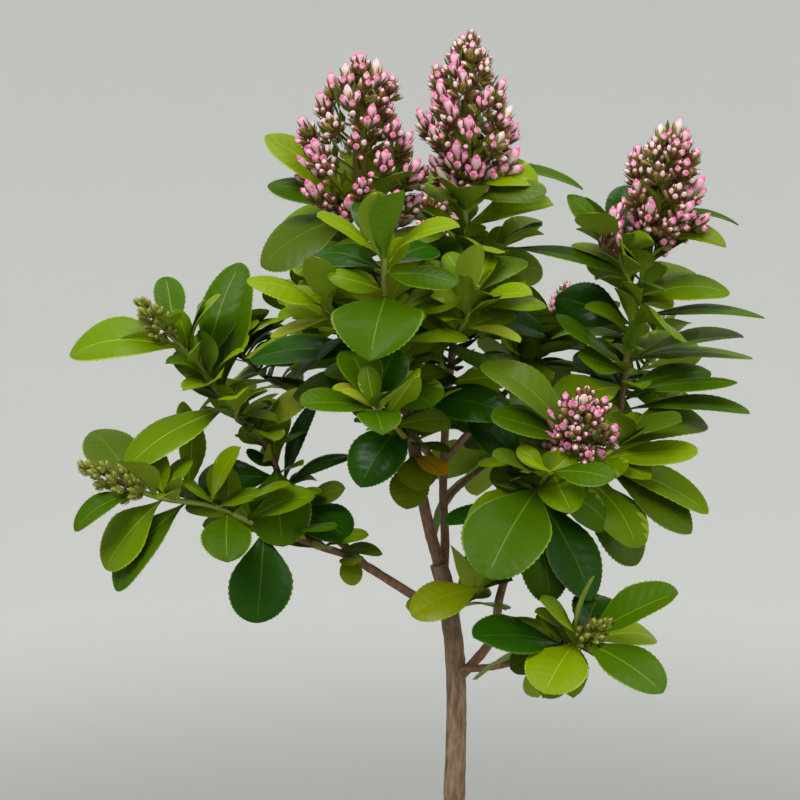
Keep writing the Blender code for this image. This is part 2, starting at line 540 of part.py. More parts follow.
class Grower:
    """Grows one mass: its stems first, then the leaves that show most, then those set by rule."""

    TRIES = ((0, 0), (18, 8), (-18, 8), (0, 22), (34, 12), (-34, 12), (12, -22), (-12, 36))

    def __init__(self, mass, space):
        self.mass = mass
        self.space = space
        self.random = random.Random(f"{SEED} {mass.name}")
        self.stems = []
        self.pieces = []

    def others(self, owner):
        return owner.split("/")[0] != self.mass.name

    def own_blades(self, owner):
        return self.others(owner) or owner.endswith(("/leaf", "/head"))

    def keep(self, shape, kind):
        self.pieces.append(shape)
        self.space.add(f"{self.mass.name}/{kind}", shape)

    def grow_stems(self):
        """All the mass's stems. The main one goes on from the tip of its bough, a small gap clear."""
        bough = next((limb for limb in LIMBS if limb.path[-1] == self.mass.shoots[0].path[0]), None)
        for index, shoot in enumerate(self.mass.shoots):
            if index == 0 and bough:
                on = (Vector(shoot.path[1]) - Vector(bough.path[-2])).normalized()
                start = Vector(shoot.path[0]) + on * GAP
                self.add_shoot(shoot, Stem((start, *shoot.path[1:]), shoot.radius, bough.path[-2]))
            else:
                self.add_shoot(shoot, Stem(shoot.path, shoot.radius))

    def add_shoot(self, shoot, stem):
        self.stems.append((shoot, stem))
        self.keep(tube(stem, shoot.sides), "stem")
        if shoot.head:
            self.add_head(shoot.head, stem)
        for number in range(shoot.twigs):
            self.add_twig(shoot, stem, number)

    def add_twig(self, shoot, stem, number):
        """A side twig by rule: it leaves the stem at a wide angle and turns up towards its tip."""
        root, _, radius = stem.at(mix(0.30, 0.75, (number + 0.5) / shoot.twigs))
        compass = shoot.ring.first + 70 + GOLDEN_ANGLE * number + self.random.uniform(-15, 15)
        length = self.random.uniform(0.020, 0.028)
        bend = root + bearing(compass, 20) * length * 0.5
        tip = bend + bearing(compass, 55) * length * 0.5
        ring = Ring(6, 0.35, self.random.uniform(0, 360), (0.034, 0.022), (0, 60))
        twig = Shoot((root, bend, tip), (radius * 0.7, radius * 0.5), ring=ring)
        grown = Stem(twig.path, twig.radius)
        if not self.space.blocked(tube(grown, 3, CLEARANCE, 0.3), self.own_blades):
            self.add_shoot(twig, grown)

    def add_head(self, head, stem):
        """A flower head: a close-set heart of stalks, with bud sprays standing out all round it."""
        root, _, radius = stem.at(1.0)
        axis = bearing(head.compass, head.rise)
        self.pieces.append(heart(root, head, radius))
        across = axis.orthogonal().normalized()
        for number in range(head.sprays):
            share = (number + 0.5) / head.sprays
            level = share ** 0.9
            reach = head.width / 2 * cone_width(level) * self.random.uniform(0.90, 1.0)
            spoke = Quaternion(axis, math.radians(GOLDEN_ANGLE * number)) @ across
            tip = root + axis * (head.length * level) + spoke * reach
            tip += axis * head.spray_length * mix(0.05, 0.35, level)
            lean = (spoke * mix(1.0, 0.35, level) + axis * mix(0.55, 1.0, level)).normalized()
            size = max(head.spray_length, reach * 1.15)
            foot = tip - lean * size
            height = (foot - root).dot(axis)
            foot = root + axis * min(max(height, 0.0), head.length * 0.85)
            self.pieces.append(spindle(foot, tip, head.spray_length * SPRAY_WIDTH / 2))
        self.space.add(f"{self.mass.name}/head", head_hull(root, head))

    def spring(self, stem, share):
        """Where a leaf at a share of a stem springs, and the stem's radius there."""
        root, _, radius = stem.at(min(share, 1 - radius_of_tip(stem) / stem.length))
        return root, radius

    def fits(self, root, leaf, radius, sides, by):
        tip = root + bearing(leaf.compass, leaf.rise) * leaf.length
        if min(stem.within(tip) for _, stem in self.stems) > self.mass.reach:
            return False
        return not self.space.blocked(blade(root, leaf, radius, sides, CLEARANCE, 0.18), by)

    def grow_seen(self):
        """The leaves that make the crown's outline."""
        for shoot, stem in self.stems:
            for leaf in shoot.leaves:
                root, radius = self.spring(stem, leaf.at)
                if self.fits(root, leaf, radius, SEEN_SIDES, self.others):
                    self.keep(blade(root, leaf, radius, SEEN_SIDES), "leaf")

    def grow_rings(self):
        """The leaves that a rule sets round each shoot, each turned a little until it has room."""
        for shoot, stem in self.stems:
            ring = shoot.ring
            for number in range(ring.count if ring else 0):
                share = (number + 0.5) / ring.count
                at = mix(ring.start, 1.0, share ** 0.8)
                root, radius = self.spring(stem, at)
                out = Vector((root.x - CROWN_AXIS[0], root.y - CROWN_AXIS[1], 0)).normalized()
                length = mix(*ring.length, share) * self.random.uniform(0.88, 1.12)
                compass = ring.first + GOLDEN_ANGLE * number + self.random.uniform(-12, 12)
                rise = mix(*ring.rise, share ** 1.4) + self.random.uniform(-8, 8)
                width = LEAF_WIDTH * self.random.uniform(0.92, 1.12)
                for turn, lift in self.TRIES:
                    leaf = Leaf(at, compass + turn, min(rise + lift, 80), length, width, 0, out[:2])
                    if self.fits(root, leaf, radius, RING_SIDES, self.own_blades):
                        self.keep(blade(root, leaf, radius, RING_SIDES), "leaf")
                        break


def material(name, colour, roughness, metallic=0.0):
    """A Principled material in one colour."""
    made = bpy.data.materials.new(name)
    made.use_nodes = True
    shader = made.node_tree.nodes["Principled BSDF"]
    shader.inputs["Base Color"].default_value = (*colour, 1.0)
    shader.inputs["Roughness"].default_value = roughness
    shader.inputs["Metallic"].default_value = metallic
    return made


def add_object(name, shape, finish=None):
    """A mesh object made from (points, faces), with its faces turned outwards."""
    points, faces = shape
    mesh = bpy.data.meshes.new(name)
    bm = bmesh.new()
    corners = [bm.verts.new(point) for point in points]
    for face in faces:
        bm.faces.new([corners[index] for index in face])
    bmesh.ops.recalc_face_normals(bm, faces=bm.faces)
    bm.to_mesh(mesh)
    bm.free()
    made = bpy.data.objects.new(name, mesh)
    bpy.context.scene.collection.objects.link(made)
    if finish:
        mesh.materials.append(finish)
    return made


def apply_modifiers(target):
    """Makes an object's modifiers part of its mesh."""
    graph = bpy.context.evaluated_depsgraph_get()
    mesh = bpy.data.meshes.new_from_object(target.evaluated_get(graph))
    target.modifiers.clear()
    target.data = mesh


def keep_largest(target):
    """Leaves one closed body: drops loose scraps, and with them the shells of sealed hollows."""
    bm = bmesh.new()
    bm.from_mesh(target.data)
    bmesh.ops.triangulate(bm, faces=bm.faces)
    left, bodies = set(bm.verts), []
    while left:
        body, edge = set(), [next(iter(left))]
        while edge:
            vert = edge.pop()
            if vert in body:
                continue
            body.add(vert)
            edge.extend(link.other_vert(vert) for link in vert.link_edges)
        left -= body
        bodies.append(body)
    largest = max(bodies, key=len)
    bmesh.ops.delete(bm, geom=[vert for vert in bm.verts if vert not in largest], context="VERTS")
    bm.to_mesh(target.data)
    bm.free()


def union(name, pieces, finish):
    """One solid that fuses all the pieces, the first of them a stem that runs through the rest."""
    target = add_object(name, pieces[0], finish)
    others = bpy.data.collections.new(f"{name} pieces")
    bpy.context.scene.collection.children.link(others)
    for index, shape in enumerate(pieces[1:]):
        piece = add_object(f"{name} piece {index}", shape, finish)
        bpy.context.scene.collection.objects.unlink(piece)
        others.objects.link(piece)
    join = target.modifiers.new("Join", "BOOLEAN")
    join.operation = "UNION"
    join.operand_type = "COLLECTION"
    join.collection = others
    join.solver = "EXACT"
    apply_modifiers(target)
    for piece in list(others.objects):
        bpy.data.objects.remove(piece)
    bpy.data.collections.remove(others)
    keep_largest(target)
    return target


def cut(target, shape):
    """Cuts a shape from an object, and leaves the larger of the bodies."""
    cutter = add_object("cutter", shape)
    difference = target.modifiers.new("Cut", "BOOLEAN")
    difference.operation = "DIFFERENCE"
    difference.object = cutter
    apply_modifiers(target)
    bpy.data.objects.remove(cutter)
    keep_largest(target)


def turned(profile, sides):
    """(points, faces) of a profile of (radius, height) turned round +Z. Its ends lie on the axis."""
    points = [Vector((0, 0, profile[0][1]))]
    for radius, height in profile[1:-1]:
        for side in range(sides):
            angle = 2 * math.pi * side / sides
            points.append(Vector((radius * math.cos(angle), radius * math.sin(angle), height)))
    points.append(Vector((0, 0, profile[-1][1])))
    faces, rings = [], len(profile) - 2
    for side in range(sides):
        after = (side + 1) % sides
        faces.append((0, 1 + side, 1 + after))
        faces.append((len(points) - 1, 1 + (rings - 1) * sides + after, 1 + (rings - 1) * sides + side))
        for ring in range(rings - 1):
            low, high = 1 + ring * sides, 1 + (ring + 1) * sides
            faces.append((low + side, high + side, high + after, low + after))
    return points, faces


def pot_radius(height):
    """The pot's outer radius below its rim, which widens evenly with height."""
    return mix(POT_FOOT_RADIUS, POT_RIM_RADIUS - RIM_STEP, height / (POT_HEIGHT - RIM_DEPTH))


def build_pot(finish):
    """A plain thin-walled pot with a stepped rim, a flat floor and a ring of drain holes."""
    rim_foot = POT_HEIGHT - RIM_DEPTH
    inner_top = POT_RIM_RADIUS - RIM_STEP - POT_WALL
    profile = ((0, 0), (POT_FOOT_RADIUS, 0), (pot_radius(rim_foot), rim_foot),
               (POT_RIM_RADIUS, rim_foot + 0.001), (POT_RIM_RADIUS + 0.001, POT_HEIGHT),
               (inner_top + 0.001, POT_HEIGHT), (inner_top, rim_foot - 0.002),
               (POT_FOOT_RADIUS - POT_WALL, POT_FLOOR), (0, POT_FLOOR))
    pot = add_object("pot", turned(profile, POT_SIDES), finish)
    for drain in range(DRAINS):
        angle = 2 * math.pi * drain / DRAINS
        centre = Vector((math.cos(angle), math.sin(angle), 0)) * DRAIN_RING_RADIUS
        half = Vector((0, 0, 0.01))
        hole = Stem((centre - half, centre + half), (DRAIN_RADIUS, DRAIN_RADIUS))
        cut(pot, tube(hole, DRAIN_SIDES))
    return pot


def build_soil(finish):
    """The potting mix that fills the pot to just below its rim, a little higher round the stem."""
    bottom = POT_FLOOR + GAP
    inset = POT_WALL + GAP * 2

    def radius(height):
        return pot_radius(height) - inset

    profile = ((0, bottom), (radius(bottom), bottom), (radius(SOIL_TOP) - 0.0005, SOIL_TOP - SOIL_CROWN),
               (0.050, SOIL_TOP - SOIL_CROWN / 3), (0.020, SOIL_TOP), (0, SOIL_TOP))
    return add_object("soil", turned(profile, POT_SIDES), finish)


def build_limbs(finish, space):
    """The trunk and the boughs. Each bough is cut to the limbs it leaves or meets, a small gap clear."""
    cutters = {}
    for limb in LIMBS:
        mass = next((mass for mass in MASSES if mass.shoots[0].path[0] == limb.path[-1]), None)
        after = mass.shoots[0].path[1] if mass else None
        stem = Stem(limb.path, limb.radius, after=after, flare=limb.flare)
        sides = TRUNK_SIDES if limb.flare else BOUGH_SIDES
        shape = tube(stem, sides)
        made = add_object(limb.name, shape, finish)
        tree = BVHTree.FromPolygons(*shape)
        for cutter in cutters.values():
            if tree.overlap(BVHTree.FromPolygons(*cutter)):
                cut(made, cutter)
        cutters[limb.name] = tube(stem, sides, GAP)
        space.add(limb.name, shape)
    return cutters


def main():
    for made in list(bpy.data.objects):
        bpy.data.objects.remove(made)
    bark = material("bark", (0.19, 0.11, 0.065), 0.8)
    foliage = material("foliage", (0.05, 0.13, 0.015), 0.35)
    build_pot(material("pot plastic", (0.025, 0.025, 0.027), 0.5))
    build_soil(material("potting mix", (0.045, 0.028, 0.018), 0.95))
    space = Space()
    space.add("pot", turned(((0, SOIL_TOP), (POT_RIM_RADIUS, SOIL_TOP), (0, POT_HEIGHT)), 8))
    cutters = build_limbs(bark, space)
    growers = [Grower(mass, space) for mass in MASSES]
    for grower in growers:
        grower.grow_stems()
    for grower in growers:
        grower.grow_seen()
    for grower in growers:
        grower.grow_rings()
    for grower in growers:
        made = union(grower.mass.name, grower.pieces, foliage)
        if made.name == "foliage_sprig":
            cut(made, cutters["trunk"])


if __name__ == "__main__":
    main()
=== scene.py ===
"""Looks for a potted standard escallonia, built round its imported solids.

The limbs and the masses of foliage grow by the same rule as the solids do, from the same named sizes,
so every shoot, leaf and flower head lies where the solid one does. Here they are carried further: blades
with teeth, a rib and side veins, small leaves in the axils, and heads of separate buds in their cups.
Metres throughout. Compass bearings are seen from above in degrees, 0 along +X and 90 along +Y.
"""

from __future__ import annotations

import logging
import math
import random
from dataclasses import dataclass, field, replace
from enum import Enum, IntEnum
from typing import Callable, Iterable, Optional

import bmesh
import bpy
import numpy as np
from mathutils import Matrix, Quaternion, Vector, noise
from mathutils.bvhtree import BVHTree

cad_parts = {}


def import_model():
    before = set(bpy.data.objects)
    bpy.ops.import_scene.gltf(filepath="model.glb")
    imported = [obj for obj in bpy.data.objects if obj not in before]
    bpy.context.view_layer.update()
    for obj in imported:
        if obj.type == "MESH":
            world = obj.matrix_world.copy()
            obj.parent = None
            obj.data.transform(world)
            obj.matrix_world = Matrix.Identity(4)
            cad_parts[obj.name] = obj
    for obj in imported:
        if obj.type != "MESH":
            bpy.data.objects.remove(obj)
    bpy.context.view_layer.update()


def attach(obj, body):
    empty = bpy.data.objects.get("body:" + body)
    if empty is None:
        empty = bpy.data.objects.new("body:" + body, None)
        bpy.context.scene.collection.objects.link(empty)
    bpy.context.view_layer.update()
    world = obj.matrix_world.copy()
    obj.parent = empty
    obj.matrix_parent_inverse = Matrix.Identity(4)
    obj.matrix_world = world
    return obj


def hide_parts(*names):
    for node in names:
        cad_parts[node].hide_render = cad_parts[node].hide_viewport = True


LOG = logging.getLogger("escallonia")

Shape = tuple[list, list]

# Driving sizes
POT_HEIGHT = 0.170
POT_FOOT_RADIUS = 0.072
POT_RIM_RADIUS = 0.095
POT_WALL = 0.0024
POT_FLOOR = 0.0030
RIM_DEPTH = 0.013
RIM_STEP = 0.0035
DRAIN_RADIUS = 0.006
DRAIN_RING_RADIUS = 0.052
DRAINS = 6
SOIL_TOP = 0.150
GAP = 0.0003
FLARE_HEIGHT = 0.010
TRUNK_SIDES = 10
BOUGH_SIDES = 6
FORK_HEIGHT = 0.522
GOLDEN_ANGLE = 137.5
SEED = 4170

# How a leaf's space is kept: shares of its length and half-width at its sides
SEEN_SIDES = ((0.38, 0.86), (0.78, 0.92))
RING_SIDES = ((0.60, 1.10),)
LEAF_RIDGE = 0.36
FACE_TURN = 0.5
CROWN_AXIS = (-0.005, 0.025)
LEAF_ARCH = 0.055
LEAF_FOLD = 0.10
LEAF_THICKNESS = 0.016
LEAF_LEAST_THICKNESS = 0.0006
LEAF_STEEPEST = 80
LEAF_SINK = 0.3
LEAF_WIDTH = 0.46
CLEARANCE = 0.0007

# The camera that the photograph was taken with, as far as it can be told
CAMERA_RISE = 12.0
CAMERA_DISTANCE = 1.0
CAMERA_TARGET = (-0.027, 0.0, 0.604)
CAMERA_LENS = 93.75
CAMERA_SENSOR = 36.0


def bearing(compass: float, rise: float) -> Vector:
    """Gives the unit vector with a compass bearing and a rise.

    Args:
        compass: degrees from +X, seen from above.
        rise: degrees above the level.

    Returns:
        The direction.
    """
    turn, lift = math.radians(compass), math.radians(rise)
    return Vector((math.cos(lift) * math.cos(turn), math.cos(lift) * math.sin(turn), math.sin(lift)))


def mix(low: float, high: float, share: float) -> float:
    """Gives the value a share of the way from low to high."""
    return low + (high - low) * share


def linear(red: int, green: int, blue: int) -> tuple[float, float, float]:
    """Turns a colour seen on screen, 0 to 255, into the linear one that a shader takes.

    Args:
        red: the red part.
        green: the green part.
        blue: the blue part.

    Returns:
        The three linear parts.
    """
    parts = (red / 255, green / 255, blue / 255)
    return tuple(part / 12.92 if part <= 0.04045 else ((part + 0.055) / 1.055) ** 2.4 for part in parts)


class Tone(Enum):
    """The colours that a leaf's upper side can take, by the letter that the tables use."""

    DARK = "d"
    MID = "m"
    FRESH = "f"
    BRIGHT = "b"
    PALE = "p"
    GREY = "g"
    OLIVE = "o"
    YELLOWED = "y"
    AGED = "a"


class Bloom(Enum):
    """How far a flower head has come."""

    PINK = "pink"
    GREEN = "green"


@dataclass(frozen=True)
class Leaf:
    """One leaf: where along its shoot it springs, where its tip points, its length and its width."""

    at: float
    compass: float
    rise: float
    length: float
    width: float = LEAF_WIDTH
    roll: float = 0.0
    faces: tuple = (0.0, -1.0)


@dataclass(frozen=True)
class Ring:
    """Leaves set round a shoot one golden angle apart, closer together towards its tip."""

    count: int
    start: float = 0.15
    first: float = 0.0
    length: tuple = (0.040, 0.024)
    rise: tuple = (-5.0, 55.0)


@dataclass(frozen=True)
class Head:
    """A cone of flower buds that ends a shoot, on the same stem."""

    compass: float
    rise: float
    length: float
    width: float
    sprays: int
    spray_length: float = 0.013

    @property
    def bloom(self) -> Bloom:
        """Wide heads and the small one beside the right-hand cone are in pink bud."""
        return Bloom.PINK if self.width > 0.020 or self.width < 0.013 else Bloom.GREEN


@dataclass(frozen=True)
class Shoot:
    """A leafy stem. A side shoot's first point lies on the stem that it leaves."""

    path: tuple
    radius: tuple = (0.0013, 0.0009)
    leaves: tuple = ()
    ring: Optional[Ring] = None
    head: Optional[Head] = None
    twigs: int = 0
    sides: int = 3


@dataclass(frozen=True)
class Mass:
    """One mass of foliage: a main shoot, the shoots that leave it, and how far it reaches from them."""

    name: str
    shoots: tuple
    reach: float = 0.064


@dataclass(frozen=True)
class Limb:
    """The trunk or a bough, from its root to its tip, with its radius at both."""

    name: str
    path: tuple
    radius: tuple
    flare: float = 0.0


LIMBS = (
    Limb("trunk", ((0.004, 0.003, 0.1503), (0.003, 0.002, 0.240), (-0.001, 0.003, 0.340),
                   (0.001, 0.000, 0.452), (-0.003, 0.000, 0.500), (-0.008, 0.000, FORK_HEIGHT)),
         (0.0072, 0.0044), flare=0.0040),
    Limb("bough_front", ((-0.0080, 0.000, FORK_HEIGHT + GAP), (-0.014, -0.008, 0.547),
                         (-0.020, -0.014, 0.578)), (0.0030, 0.0025)),
    Limb("bough_behind", ((-0.0055, 0.000, 0.514), (-0.0050, 0.005, 0.535), (-0.006, 0.008, 0.562),
                          (-0.004, 0.012, 0.601)), (0.0023, 0.0019)),
    Limb("bough_left", ((-0.001, 0.000, 0.493), (-0.027, -0.005, 0.512), (-0.050, -0.013, 0.529)),
         (0.0025, 0.0020)),
    Limb("bough_left_riser", ((-0.042, -0.010, 0.523), (-0.057, -0.006, 0.536), (-0.070, -0.006, 0.546)),
         (0.0019, 0.0018)),
    Limb("bough_front_rear", ((-0.0165, -0.010, 0.562), (-0.021, 0.010, 0.592), (-0.031, 0.020, 0.635)),
         (0.0021, 0.0018)),
    Limb("bough_right", ((0.001, 0.000, 0.462), (0.018, -0.004, 0.485), (0.021, -0.010, 0.507),
                         (0.026, -0.018, 0.529), (0.032, -0.030, 0.557)), (0.0024, 0.0018)),
    Limb("bough_right_side", ((0.0265, -0.019, 0.531), (0.040, -0.012, 0.546), (0.050, -0.006, 0.556)),
         (0.0018, 0.0016)),
    Limb("bough_right_top", ((0.0235, -0.014, 0.518), (0.038, 0.008, 0.534), (0.058, 0.022, 0.553),
                             (0.074, 0.026, 0.570), (0.080, 0.024, 0.586)), (0.0019, 0.0017)),
    Limb("bough_right_low", ((0.001, -0.001, 0.468), (0.021, -0.020, 0.477), (0.037, -0.040, 0.489)),
         (0.0018, 0.0015)),
    Limb("bough_back_left", ((-0.0057, 0.008, 0.566), (-0.024, 0.032, 0.584), (-0.042, 0.054, 0.602)),
         (0.0018, 0.0015)),
    Limb("bough_back", ((-0.0052, 0.0095, 0.584), (-0.006, 0.036, 0.606), (-0.008, 0.058, 0.622)),
         (0.0018, 0.0015)),
    Limb("bough_back_right", ((-0.0055, 0.0085, 0.572), (0.014, 0.034, 0.588), (0.030, 0.056, 0.600)),
         (0.0018, 0.0015)),
    Limb("bough_left_back", ((-0.022, 0.030, 0.582), (-0.054, 0.042, 0.594), (-0.084, 0.048, 0.600)),
         (0.0016, 0.0014)),
    Limb("bough_right_back", ((0.012, 0.031, 0.586), (0.048, 0.052, 0.588), (0.078, 0.060, 0.592)),
         (0.0016, 0.0014)),
    Limb("bough_back_low", ((-0.0060, 0.007, 0.552), (0.006, 0.032, 0.556), (0.018, 0.054, 0.560)),
         (0.0016, 0.0014)),
)

